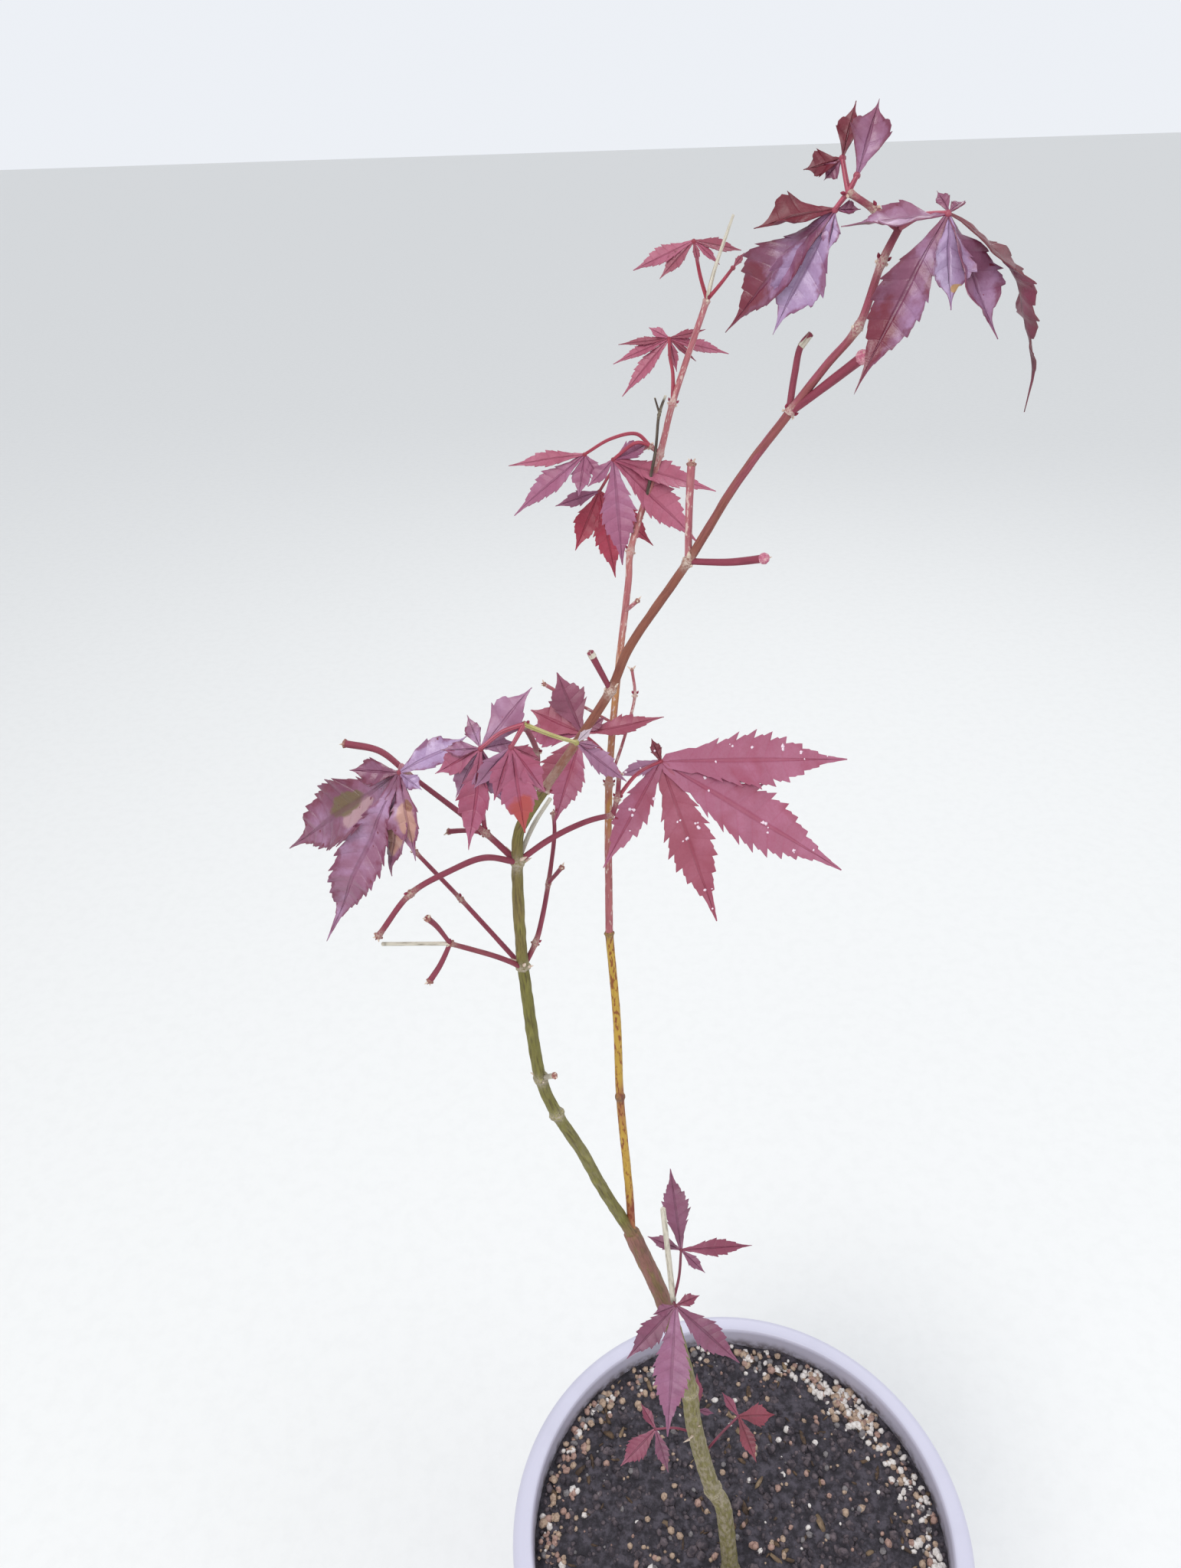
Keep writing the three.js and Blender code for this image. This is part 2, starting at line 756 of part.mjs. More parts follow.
for (const one of MASSES) {
  const shoot = walk(startOf(one), one.shoot ?? []);
  const twigs = one.shoot ? [{ places: shoot, radius: SHOOT_RADIUS }] : [];
  const blades = [];
  for (const { from = shoot.length - 1, stalk, faces, width = LOBE_WIDTH, lobes } of one.leaves) {
    const places = walk(shoot[from], stalk);
    const hub = places[places.length - 1];
    twigs.push({ places, radius: [1.1 * STALK_RADIUS, STALK_RADIUS], sides: STALK_SIDES });
    blades.push(solid(new THREE.OctahedronGeometry(HUB_RADIUS).translate(hub.x, hub.y, hub.z)));
    blades.push(...lobes.map((spec) => lobe(hub, leafAxes(faces), width, spec)));
  }
  maple.add(mesh(one.name, grow([...twigs.map((twig) => limb(twig)), ...blades]), one.finish));
  grown.push(...twigs.map((twig) => limb(twig, GAP)));
}

export default maple;
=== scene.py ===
"""The look of a young maple in a round planter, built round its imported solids.

The tables and the code that makes shapes are in millimetres and degrees, and each mesh is scaled to metres as
it is made. Materials and the studio are in metres, but the pattern of bark is in millimetres.
"""

import math
from collections import namedtuple
from functools import partialmethod

import bmesh
import bpy
import numpy as np
from mathutils import Matrix, Vector, noise


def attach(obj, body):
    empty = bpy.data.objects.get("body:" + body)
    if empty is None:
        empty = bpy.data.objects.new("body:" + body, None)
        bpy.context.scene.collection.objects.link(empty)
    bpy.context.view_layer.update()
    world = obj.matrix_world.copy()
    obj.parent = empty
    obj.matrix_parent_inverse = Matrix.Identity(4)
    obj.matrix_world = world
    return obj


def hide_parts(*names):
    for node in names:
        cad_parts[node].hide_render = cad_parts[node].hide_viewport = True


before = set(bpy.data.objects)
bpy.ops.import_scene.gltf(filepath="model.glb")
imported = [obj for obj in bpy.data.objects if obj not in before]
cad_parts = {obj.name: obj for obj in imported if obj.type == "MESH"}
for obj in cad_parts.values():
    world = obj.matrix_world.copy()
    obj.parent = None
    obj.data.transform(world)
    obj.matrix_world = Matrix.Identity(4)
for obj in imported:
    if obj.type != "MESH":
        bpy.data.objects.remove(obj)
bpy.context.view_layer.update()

MM = 0.001

# Camera, fitted to the planter's rim
CAMERA_PLACE = (-98.35, -443.55, 1264.25)
CAMERA_PITCH = 32
CAMERA_ROLL = -1.83
CAMERA_LENS = 26.03
CAMERA_SENSOR = 36
FLOOR_SIZE = 25  # metres from its middle

# Planter
PLANTER_HEIGHT = 300
PLANTER_SIDES = 160
FOOT_RADIUS = 120
EDGE = 3
SHOULDER_RADIUS = 165
BELLY = 4
WALL = 4
FLOOR = 6
RIM_RADIUS = 178
RIM_INNER_RADIUS = 162
RIM_DEPTH = 34
RIM_ROUND = 7
RIM_INNER_ROUND = 4
RIM_LINE = 0.5
RIM_LINE_AT = 9  # above the foot of the rim's band
RIM_TAPER = ((12, 0.2), (22, 0.6), (32, 1))  # the depth and how much narrower the inside of the rim is there
WALL_STATIONS = 22
FOOT_FLAT = (24, 22)  # rings in from the foot's radius that keep the underside flat in the light
DRAIN_COUNT = 5
DRAIN_SIDES = 32
DRAIN_RADIUS = 6
DRAIN_RING_RADIUS = 72

# Soil
SOIL_LEVEL = 280
SOIL_DROP = 0.6
SOIL_SINK = 1.5  # at the wall
SINK_FROM = 0.9
SOIL_RADIUS = 161.2
SOIL_SIDES = 400
SOIL_RINGS = 120
SOIL_TIDE = (0.287, 0.298)  # metres; where the soil's stain on the inside of the planter fades
# Its lumps, as (height, size, seed), and finer ones that the bits on it don't follow
SOIL_LUMPS = ((1.5, 21, 1), (1.3, 7, 2))
FINE_LUMPS = (0.7, 2.6, 3)
# How far the soil's sides and bottom stay from the planter, and how deep its upright edge is
SOIL_FOOT_GAP = 1
SOIL_FLOOR_GAP = 0.4
SOIL_EDGE_DEPTH = 16
SOIL_EDGE_TAPER = 1.5
# How many bits lie all over it, with their least and greatest size
CRUMBS = (2000, 0.9, 4.2)
CLODS = (110, 3.5, 7)
CHIPS = (190, 2.5, 9)
LOOSE_GRAINS = (480, 1, 3.6)
BITS_MARGIN = 3
BITS_SMALLNESS = 1.6
TRUNK_CLEARANCE = 9.5
# Drifts of grains along the rim, with the headings where they gather and how widely, in radians
DRIFTS = 82
DRIFT_HEADINGS = ((0.55, 0.5), (1.05, 0.3), (0.1, 0.8), (2.4, 0.45))
DRIFT_MARGIN = 5
DRIFT_DEPTH = 9
DRIFT_WIDTH = 6
DRIFT_COUNTS = (3, 16)
DRIFT_SIZES = (1.2, 3.8)
GRAIN_MARGIN = 2.5
GRAIN_KINDS = ("grain_white", "grain_beige", "grain_pink", "grain_grey")
GRAIN_ODDS_DRIFT = (0.5, 0.22, 0.18, 0.1)
GRAIN_ODDS = (0.1, 0.36, 0.32, 0.22)
GRAIN_ODDS_LEFT = (0.12, 0.38, 0.3, 0.2)
GRAINS_DULL_BELOW = -30  # left of this x

# Where the trunk starts, and its root flare
TRUNK_START = (-8, -26, 262)
FLARE = 2.6
FLARE_HEIGHT = 17
FLARE_CURVE = 1.3

# Curves, bark, rings and tips of the limbs
SAMPLES = 24
FIBRE_SIZE = 0.75
FIBRE_STRETCH = (1, 1, 0.11)
LUMP_SIZE = 2.6
LUMP_STRETCH = (0.6, 0.6, 0.35)
SCALE_SIZES = (0.9, 2.2)
SCALE_STRETCH = (1, 1, 0.7)
RING_WIDTH = 1.5
RING_SWELL = 0.36
RING_SWELL_GIRTH = 3.4  # a thicker limb's rings stand out no further than on this one
RING_GROOVE = 0.1
RING_GROOVE_WIDTH = 0.3
RING_REACH = 2.2
RING_ROWS = (-1.6, -0.8, -0.35, 0, 0.35, 0.8, 1.6)
TIP_ROUND = 0.35
TIP_LEAST = 0.04
DRY_SWELL = 0.2
BUD_SWELL = 1.35
SHOOT_RADIUS = (1.2, 1)
STALK_RADIUS = (0.92, 0.72)
SLIVER_RADIUS = 0.9
# The knot where the lobes of a leaf meet, and the droplets on them, pale as a painted glint of sky
KNOT_DEPTH = 1.2
KNOT_LENGTH = 2.2
KNOT_RADIUS = 1.15
DROPLET_THICKNESS = 0.16

# The limbs in the order they grow. grows is the limb and the place on it where one starts, each step is
# (length, lean from upright, heading), radius is its size at foot and tip, rings are its swollen places,
# and stubs are the cut shoots on it, as (place, steps, radius).
LIMBS = [
    dict(name="trunk", finish="olive_bark", radius=(6.3, 4.7),
         steps=[(88, 5, 170), (36, 7, -175), (22, 19, 180), (96, 10, -170), (37, 5, 180),
                (96, 10, -175), (79, 15, -165)], rings=(3, 5)),
    dict(name="stem_main_lower", finish="olive_bark", radius=(3.3, 2.7), grows=("trunk", 7),
         steps=[(44, 21, -175), (36, 18, -170), (32, 21, -170), (29, 14, -165), (75, 4, -145)], rings=(3, 4),
         stubs=[(4, ((11, 54, -35),), (1.2, 1.4))]),
    dict(name="stem_main_middle", finish="olive_bark", radius=(2.6, 2.3), grows=("stem_main_lower", 5),
         steps=[(30, 0, 0), (30, 2, -10), (16, 8, 25), (22, 31, 10)], rings=(0, 2)),
    dict(name="stem_main_upper", finish="brown_bark", radius=(1.95, 1.5), grows=("stem_main_middle", 4),
         steps=[(53, 33, 5), (19, 22, -5), (43, 32, -5), (35, 29, -15), (30, 34, -20)], rings=(0, 1, 3),
         stubs=[(1, ((21, 25, -150),), (1.1, 1.4)), (3, ((19, 16, 85), (16, 11, 75)), (1.3, 1.5)),
                (3, ((16, 82, -30), (15, 74, -35)), (1.2, 1.5))]),
    dict(name="stem_main_tip", finish="brown_bark", radius=(1.5, 1.15), grows=("stem_main_upper", 5),
         steps=[(19, 35, -20), (16, 37, -25), (20, 16, -20), (10, 24, 0)], rings=(0, 2, 3),
         stubs=[(0, ((13, 30, 70), (9, 19, 50), (5, 38, 0)), (1.2, 1.1)),
                (0, ((17, 50, -25), (14, 50, -35)), (1.3, 1.8))]),
    dict(name="stem_right_lower", finish="yellow_bark", radius=(2.25, 2), grows=("trunk", 7),
         steps=[(30, 7, 105), (66, 10, 110), (49, 10, 95), (50, 12, 105)], rings=(2, 4)),
    dict(name="stem_right_upper", finish="pink_bark", radius=(1.9, 1.35), grows=("stem_right_lower", 4),
         steps=[(77, 17, 85), (49, 24, 75), (48, 19, 65), (14, 35, 80), (46, 30, 50), (23, 28, 55),
                (46, 23, 30)], rings=(1, 4, 5, 6, 7),
         stubs=[(2.7, ((13, 48, -55),), (0.8, 1)),
                (1.6, ((20, 56, 180), (20, 52, -170)), (0.7, 0.9))]),
    dict(name="twig_low_back", finish="maroon_twig", radius=(1.2, 1), grows=("stem_main_lower", 5),
         steps=[(31, 53, 145), (12, 60, 140), (32, 62, 140)], rings=(2, 3)),
    dict(name="twig_low_forked", finish="maroon_twig", radius=(1.3, 1.1), grows=("stem_main_lower", 5),
         steps=[(15, 45, -150), (32, 49, -145)], rings=(2,),
         stubs=[(2, ((14, 24, -135), (9, 32, -125)), (0.9, 1.3)),
                (2, ((12, 152, -160), (8, 132, -140)), (1, 1.4))]),
    dict(name="twig_low_right", finish="maroon_twig", radius=(1.3, 0.9), grows=("stem_main_lower", 5),
         steps=[(13, 38, 40), (10, 44, 65), (18, 38, 70), (23, 27, 70), (10, 25, 90)], rings=(1, 3, 5),
         stubs=[(3, ((18, 36, -50),), (0.8, 1.1))]),
    dict(name="dead_twig_low", finish="dead_wood", radius=(0.9, 0.85), grows=("twig_low_forked", 2),
         steps=[(31, 69, -155)]),
    dict(name="twig_high_front", finish="maroon_twig", radius=(1.4, 1.15), grows=("stem_main_middle", 2),
         steps=[(20, 58, -140), (17, 84, -140), (19, 99, -145), (22, 133, -150)], rings=(3, 4)),
    dict(name="twig_high_left", finish="maroon_twig", radius=(1.5, 1), grows=("stem_main_middle", 2),
         steps=[(19, 45, 165), (38, 42, -175), (8, 37, -155)], rings=(1, 3),
         stubs=[(1, ((10, 22, 105),), (0.9, 1.2)), (1, ((9, 97, 155), (10, 107, 155)), (0.9, 1.2))]),
    dict(name="twig_high_right", finish="maroon_twig", radius=(1.4, 1.2), grows=("stem_main_middle", 2),
         steps=[(19, 57, 10), (17, 72, 15), (11, 86, 15)], rings=(3,)),
    dict(name="dead_twig_high", finish="dead_wood", radius=(1.1, 0.9), grows=("stem_main_middle", 2),
         steps=[(18, 42, 50), (14, 64, 55)]),
    dict(name="bud_twig_left", finish="maroon_twig", radius=(1.2, 1.6), grows=("twig_high_left", 3),
         steps=[(16, 74, 140), (16, 87, 160)]),
    dict(name="twig_right_thin", finish="pink_bark", radius=(0.8, 0.7), grows=("stem_right_upper", 1),
         steps=[(28, 28, 45), (17, 20, 45), (12, 20, 105)], rings=(2,)),
    dict(name="dead_twig_right_dark", finish="dead_wood", radius=(0.8, 0.6), grows=("stem_right_upper", 4.5),
         steps=[(23, 16, 40), (17, 12, 55), (8, 26, 35)], rings=(2,),
         stubs=[(2, ((7, 24, 135),), (0.5, 0.4))]),
    dict(name="dead_twig_right_top", finish="dead_wood", radius=(1, 0.6), grows=("stem_right_upper", 7),
         steps=[(12, 14, -25), (24, 20, -30)]),
    dict(name="shoot_low", finish="maroon_twig", radius=(1.6, 1.2), grows=("trunk", 5),
         steps=[(69, 11, -135), (53, 8, -120)], rings=(2,)),
    dict(name="dead_twig_shoot_low", finish="dead_wood", radius=(1.7, 1.5), grows=("shoot_low", 2),
         steps=[(87, 5, -155)]),
]

# How the blades of a leaf lie: curl is how far their sides bend up and twist their turn to the tip, in
# radians, ripple the waves of their edges and wave those of their length, and pleat how far the veins stand
# out. tooth is the spacing of their teeth and teeth the depth of them as a share of the blade, and waist and
# tail tell how narrow the foot and the tip are.
Habit = namedtuple("Habit", "curl ripple wave twist pleat tooth teeth waist tail")
HABITS = {
    "flat": Habit(0.3, 1, 1, 0.15, 0.25, 9.2, 0.23, 0.85, 1),
    "soft": Habit(0.6, 2, 1.6, 0.35, 0.25, 6, 0.19, 1.3, 1),
    "crinkled": Habit(1, 5, 3.6, 0.5, 0.5, 7, 0.15, 1.5, 1.2),
    "folded": Habit(1.15, 3.8, 2.6, 0.7, 0.4, 6, 0.13, 1.6, 1.4),
    "small": Habit(0.45, 0.6, 0.5, 0.3, 0.15, 4, 0.18, 1.2, 1),
}

# The masses of leaves. A mass starts like a limb, its shoot goes on from there, and a leaf's stalk leaves the
# shoot's tip, or the place start on it. stalks is the colour of the stalks, faces the heading and the rise of
# a leaf's upper side, and spots its number of droplets, whose pale colour is a painted glint of sky. Each
# lobe is (turn from level right, length, droop below the leaf's plane, width as a share of its length,
# colour), with its share of the droop half way last where that isn't DROOP_AT_HALF.
MASSES = [
    dict(name="leaves_middle_right", finish="rose_leaf", grows=("twig_high_right", 3), stalks="stalk_red",
         shoot=((8, 17, 30), (12, 7, 40)), leaves=[
        dict(start=1, stalk=((14, 63, 45), (18, 96, 50)), faces=(-78, 42), look="flat", spots=58, lobes=[
            (106, 11, -15, 0.5, "maroon"), (-5, 97, 12, 0.27, "rose"), (-35, 107, 16, 0.28, "rose"),
            (-76, 79, 18, 0.29, "rose_warm"), (-127, 54, 14, 0.28, "rose"),
            (-170, 21, 5, 0.36, "rose_pale")]),
        dict(stalk=((21, 89, 110), (24, 99, 110)), faces=(-95, 48), look="soft", lobes=[
            (12, 38, 0, 0.26, "rose_warm"), (34, 13, -10, 0.5, "rose_deep"),
            (115, 30, -20, 0.62, "rose_deep"), (158, 26, -8, 0.7, "rose_warm"), (177, 28, 5, 0.6, "rose"),
            (-127, 41, 25, 0.42, "rose_warm"), (-107, 44, 15, 0.36, "rose")]),
    ]),
    dict(name="leaves_far_left", finish="mauve_leaf", grows=("twig_high_left", 3), stalks="stalk_pink",
         leaves=[
        dict(stalk=((18, 51, -85), (13, 72, -85)), faces=(-105, 28), look="crinkled", lobes=[
            (33, 30, 5, 0.5, "lilac"), (-176, 21, 0, 0.6, "mauve"), (-146, 80, 25, 0.38, "withered"),
            (-117, 92, 20, 0.23, "mauve_pale"), (-101, 50, 25, 0.38, "mauve_spotted"),
            (-82, 37, 15, 0.38, "mauve_spotted"), (-34, 11, 10, 0.7, "lilac")]),
    ]),
    dict(name="leaves_front", finish="rose_leaf", grows=("stem_main_middle", 4), stalks="stalk_pink",
         shoot=((25, 54, -95), (37, 38, -85), (26, 39, -100)), leaves=[
        dict(stalk=((8, 107, -175), (11, 131, 170)), faces=(-100, 30), look="crinkled", lobes=[
            (52, 28, 0, 0.52, "rose_pale"), (117, 13, 10, 0.5, "mauve_pale"), (-151, 22, 20, 0.44, "rose"),
            (-99, 40, 20, 0.34, "rose"), (-122, 26, 30, 0.38, "rose_pale"),
            (-70, 25, 30, 0.36, "mauve_pale"), (-175, 15, 5, 0.46, "mauve"),
            (15, 13, 25, 0.46, "rose_pale")]),
        dict(stalk=((9, 137, -140),), faces=(-80, 35), look="soft", lobes=[
            (-114, 21, 25, 0.44, "rose"), (-86, 33, 25, 0.42, "rose_tipped"), (-58, 21, 20, 0.46, "rose"),
            (-140, 22, 35, 0.38, "rose_pale"), (-25, 13, 30, 0.5, "rose")]),
        dict(stalk=((11, 114, -5), (9, 117, 15)), stalks="stalk_green", faces=(-70, 40), look="small", lobes=[
            (-20, 9, 10, 0.4, "mauve_pale"), (-44, 25, 20, 0.36, "rose_pale"), (30, 8, 0, 0.4, "pale")]),
    ]),
    dict(name="leaves_top", finish="mauve_leaf", grows=("stem_main_tip", 4), stalks="stalk_pink",
         shoot=((9, 57, 155), (10, 59, 170)), leaves=[
        dict(start=0, stalk=((9, 63, -50), (8, 83, -40)), faces=(-85, 70), look="folded", lobes=[
            (161, 31, 14, 0.56, "mauve_pale"), (97, 9, -10, 0.5, "mauve"), (40, 9, 5, 0.5, "mauve"),
            (-26, 70, 55, 0.23, "brown", 0.3), (-44, 40, 50, 0.5, "mauve_pale"),
            (-85, 27, 50, 0.62, "lilac_folded"), (-137, 56, 50, 0.32, "mauve_tipped")]),
        dict(stalk=((6, 142, 160),), faces=(-105, 50), look="folded", lobes=[
            (-148, 50, 38, 0.43, "mauve_tipped"), (-124, 40, 42, 0.52, "lilac"),
            (-170, 25, 5, 0.6, "maroon"), (10, 8, 10, 0.6, "mauve"), (-97, 13, 40, 0.5, "lilac")]),
        dict(stalk=((5, 31, 110), (5, 24, 115)), faces=(-100, 20), look="folded", lobes=[
            (80, 16, 0, 0.5, "maroon"), (-168, 12, 15, 0.8, "maroon"), (-134, 8, 25, 0.8, "mauve")]),
        dict(stalk=((5, 26, -15),), faces=(-80, 20), look="folded", lobes=[
            (69, 22, 0, 0.62, "mauve")]),
    ]),
    dict(name="leaves_right_end", finish="red_leaf", grows=("stem_right_upper", 7), stalks="stalk_red",
         leaves=[
        dict(stalk=((11, 19, 155), (14, 13, -165)), faces=(-90, 55), look="small", lobes=[
            (-173, 29, 25, 0.34, "red"), (-145, 21, 30, 0.34, "red_dark"), (-76, 10, 35, 0.34, "red_dark"),
            (-30, 15, 30, 0.34, "red"), (5, 23, 20, 0.34, "red_dark")]),
    ]),
    dict(name="leaf_bud_right_end", finish="red_leaf", grows=("stem_right_upper", 7), stalks="stalk_red",
         leaves=[
        dict(stalk=((8, 42, -25), (10, 40, -30)), faces=(-90, 30), look="small", lobes=[
            (51, 8, 0, 0.4, "red_dark")]),
    ]),
    dict(name="leaves_right_middle", finish="red_leaf", grows=("stem_right_upper", 6), stalks="stalk_red",
         leaves=[
        dict(stalk=((13, 21, 85), (9, 41, 100), (8, 34, 90)), faces=(-90, 50), look="small", lobes=[
            (174, 24, 15, 0.2, "red_dark"), (-168, 28, 20, 0.25, "red"), (-140, 33, 30, 0.25, "red"),
            (145, 11, 0, 0.5, "red"), (18, 18, 5, 0.26, "red_dark"), (-3, 30, 20, 0.26, "red"),
            (-32, 16, 25, 0.26, "red_dark"), (-74, 15, 35, 0.34, "red")]),
    ]),
    dict(name="leaves_right_cluster", finish="red_leaf", grows=("stem_right_upper", 5), stalks="stalk_red",
         shoot=((6, 53, 165),), leaves=[
        dict(stalk=((8, 52, 160), (12, 100, 175), (14, 116, -170)), faces=(-95, 50), look="soft", lobes=[
            (-178, 37, 10, 0.24, "red"), (-148, 44, 25, 0.3, "red_pale"), (-101, 19, 35, 0.55, "red_pale"),
            (-52, 13, 30, 0.5, "red_pale")]),
        dict(stalk=((7, 72, -160), (13, 118, -160)), faces=(-85, 50), look="soft", lobes=[
            (-147, 17, 30, 0.5, "red_pale"), (-87, 48, 35, 0.36, "red_pale"), (-40, 55, 25, 0.34, "red"),
            (-14, 51, 15, 0.3, "red"), (25, 19, 5, 0.6, "red_pale")]),
        dict(stalk=((12, 116, 115), (18, 127, 145), (14, 145, 150)), faces=(-90, 35), look="soft", lobes=[
            (-166, 23, 10, 0.36, "red_pale"), (-116, 31, 20, 0.42, "scarlet"),
            (-80, 43, 25, 0.34, "scarlet"), (-43, 38, 20, 0.34, "scarlet")]),
    ]),
    dict(name="leaves_low_upper", finish="wine_leaf", grows=("shoot_low", 2), stalks="stalk_wine", leaves=[
        dict(stalk=((26, 7, -20), (20, 6, 65)), faces=(-85, 60), look="soft", lobes=[
            (90, 44, 0, 0.38, "wine"), (152, 20, 5, 0.42, "wine"), (-2, 41, 5, 0.24, "wine_red"),
            (-47, 18, 10, 0.36, "wine")]),
    ]),
    dict(name="leaves_low_lower", finish="wine_leaf", grows=("shoot_low", 2), stalks="stalk_wine", leaves=[
        dict(stalk=((6, 60, -80),), faces=(-90, 60), look="soft", lobes=[
            (-97, 68, 12, 0.32, "wine_pale"), (-138, 40, 10, 0.36, "wine"), (-41, 47, 10, 0.36, "wine"),
            (19, 15, 0, 0.5, "wine_red"), (-162, 14, 5, 0.5, "wine")]),
    ]),
    dict(name="leaves_low_left", finish="wine_leaf", grows=("trunk", 3.82), stalks="stalk_wine", leaves=[
        dict(stalk=((15, 68, 175), (14, 91, 180)), faces=(-95, 60), look="small", lobes=[
            (125, 18, 0, 0.4, "wine_red"), (-135, 33, 10, 0.44, "wine_red"), (-70, 27, 10, 0.36, "wine")]),
    ]),
    dict(name="leaves_low_right", finish="wine_leaf", grows=("trunk", 3.52), stalks="stalk_wine", leaves=[
        dict(stalk=((20, 43, 25), (17, 62, 30)), faces=(-85, 62), look="small", lobes=[
            (-4, 25, 0, 0.6, "crimson"), (-74, 30, 10, 0.36, "crimson"), (120, 18, 0, 0.4, "wine_red")]),
    ]),
    dict(name="leaves_low_behind", finish="wine_leaf", grows=("trunk", 3.76), stalks="stalk_wine", leaves=[
        dict(stalk=((12, 38, 90), (6, 45, 90)), faces=(-80, 60), look="small", lobes=[
            (-21, 12, 0, 0.4, "wine"), (77, 22, 0, 0.4, "wine_red"), (130, 16, 0, 0.4, "wine")]),
    ]),
]

# How each kind of bark is built: sides, the spacing of its rows, and the heights of its relief and scales
BARKS = {
    "olive_bark": dict(sides=40, spacing=0.9, relief=(0.28, 0.3), cork=0.9),
    "brown_bark": dict(sides=28, spacing=1.0, relief=(0.1, 0.12), cork=0.35),
    "yellow_bark": dict(sides=24, spacing=1.0, relief=(0.07, 0.08), cork=0.25),
    "pink_bark": dict(sides=18, spacing=1.0, relief=(0.05, 0.06), cork=0.2),
    "maroon_twig": dict(sides=16, spacing=1.0, relief=(0.05, 0.05), cork=0.3),
    "dead_wood": dict(sides=14, spacing=1.0, relief=(0.07, 0.06), cork=0.3),
}
STALK = dict(sides=10, spacing=1.0, relief=(0.03, 0.03))

# Where a limb takes its bark's second colour, as (share along it, strength). Below nothing its scales spread.
PLAIN_TONES = ((0, 0), (1, 0))
DEAD_STUB_TONES = ((0, 0.6), (0.75, 0.5), (1, 0.1))
TONES = {
    "trunk": ((0, -0.9), (0.1, -0.7), (0.3, -0.95), (0.45, -0.8), (0.7, -0.4), (0.76, 0.3), (0.84, 1),
              (1, 1.3)),
    "stem_main_lower": ((0, 0.9), (0.05, 0.3), (0.1, -0.25), (0.4, -0.2), (0.7, -0.05), (1, 0)),
    "stem_main_middle": ((0, 0), (0.2, 0.25), (0.6, 0.2), (1, 0.4)),
    "stem_main_upper": ((0, -0.5), (0.12, -0.25), (0.22, 0.1), (0.4, 0), (0.6, 0.1), (0.72, 0.35),
                        (0.85, 0.75), (1, 1.1)),
    "stem_main_tip": ((0, 1.2), (1, 1.7)),
    "stem_right_lower": ((0, 1.4), (0.1, 1.1), (0.2, 0.15), (0.37, 0.1), (0.41, 0.7), (0.52, 0.7),
                         (0.57, 0.1), (0.94, 0), (1, 0.5)),
    "stem_right_upper": ((0, 0.05), (0.14, 0.2), (0.2, 0.85), (0.42, 0.75), (0.5, 0.2), (1, 0)),
    "twig_low_forked": ((0, 0), (0.7, 0.3), (1, 0.5)),
    "twig_low_right": ((0, 0.4), (0.2, 0), (1, 0.1)),
    "dead_twig_low": ((0, 0.2), (0.05, 0), (0.93, 0), (0.97, 0.5), (1, 0.3)),
    "dead_twig_high": ((0, 0.5), (0.2, 0.15), (0.6, 0.25), (1, 0.1)),
    "dead_twig_right_dark": ((0, 2.5), (0.93, 2.5), (1, 0.2)),
    "dead_twig_shoot_low": ((0, 0.95), (0.05, 0.6), (0.08, 0), (1, 0)),
}
FORKED_ENDS = {"twig_low_back", "twig_low_forked", "twig_low_right", "twig_high_front", "bud_twig_left",
               "twig_right_thin"}
# The colour of the bud scars round the rings of a kind of bark
SCARRED = {"maroon_twig": "scar_collar", "pink_bark": "scar", "brown_bark": "scar"}
# What the stubs on a kind of bark are made of, where it isn't the same
STUB_FINISH = {"olive_bark": "dead_wood", "brown_bark": "maroon_twig"}
# Stubs that stand out, as (limb, number of the stub): paler ones, ones that end in a swollen bud, and ones
# whose end has dried, over how many millimetres
PALE_STUBS = {("stem_main_upper", 1)}
BUD_ENDS = {("stem_main_upper", 2), ("stem_main_tip", 1)}
DRY_ENDS = {("stem_main_tip", 0): 5, ("stem_main_upper", 0): 2.4}
# Dry bud scales and leaf stalks that stand off a limb: (place on it, lean, heading, length)
SLIVERS = {
    "trunk": ((3.86, 55, -120, 15), (3.8, 78, -150, 12), (3.94, 35, -60, 13), (5.1, 60, 160, 9)),
    "stem_main_middle": ((0.02, 40, -70, 8), (0.05, 60, 170, 7), (1.98, 35, 150, 9), (2.02, 50, -40, 8),
                         (1.96, 70, 10, 7)),
    "stem_main_lower": ((4.0, 60, 170, 6), (3.98, 75, -70, 5), (5.0, 65, -20, 6)),
    "stem_main_upper": ((1.02, 45, -30, 5), (3.02, 30, -100, 5)),
}
# Where the patterns of dried ends, stubs, shoots and stalks start, so that no two limbs share one
DRY_SEED, STUB_SEED, SHOOT_SEED, STALK_SEED = 20, 40, 70, 90


def put_in_scene(name, data):
    thing = bpy.data.objects.new(name, data)
    bpy.context.scene.collection.objects.link(thing)
    return thing


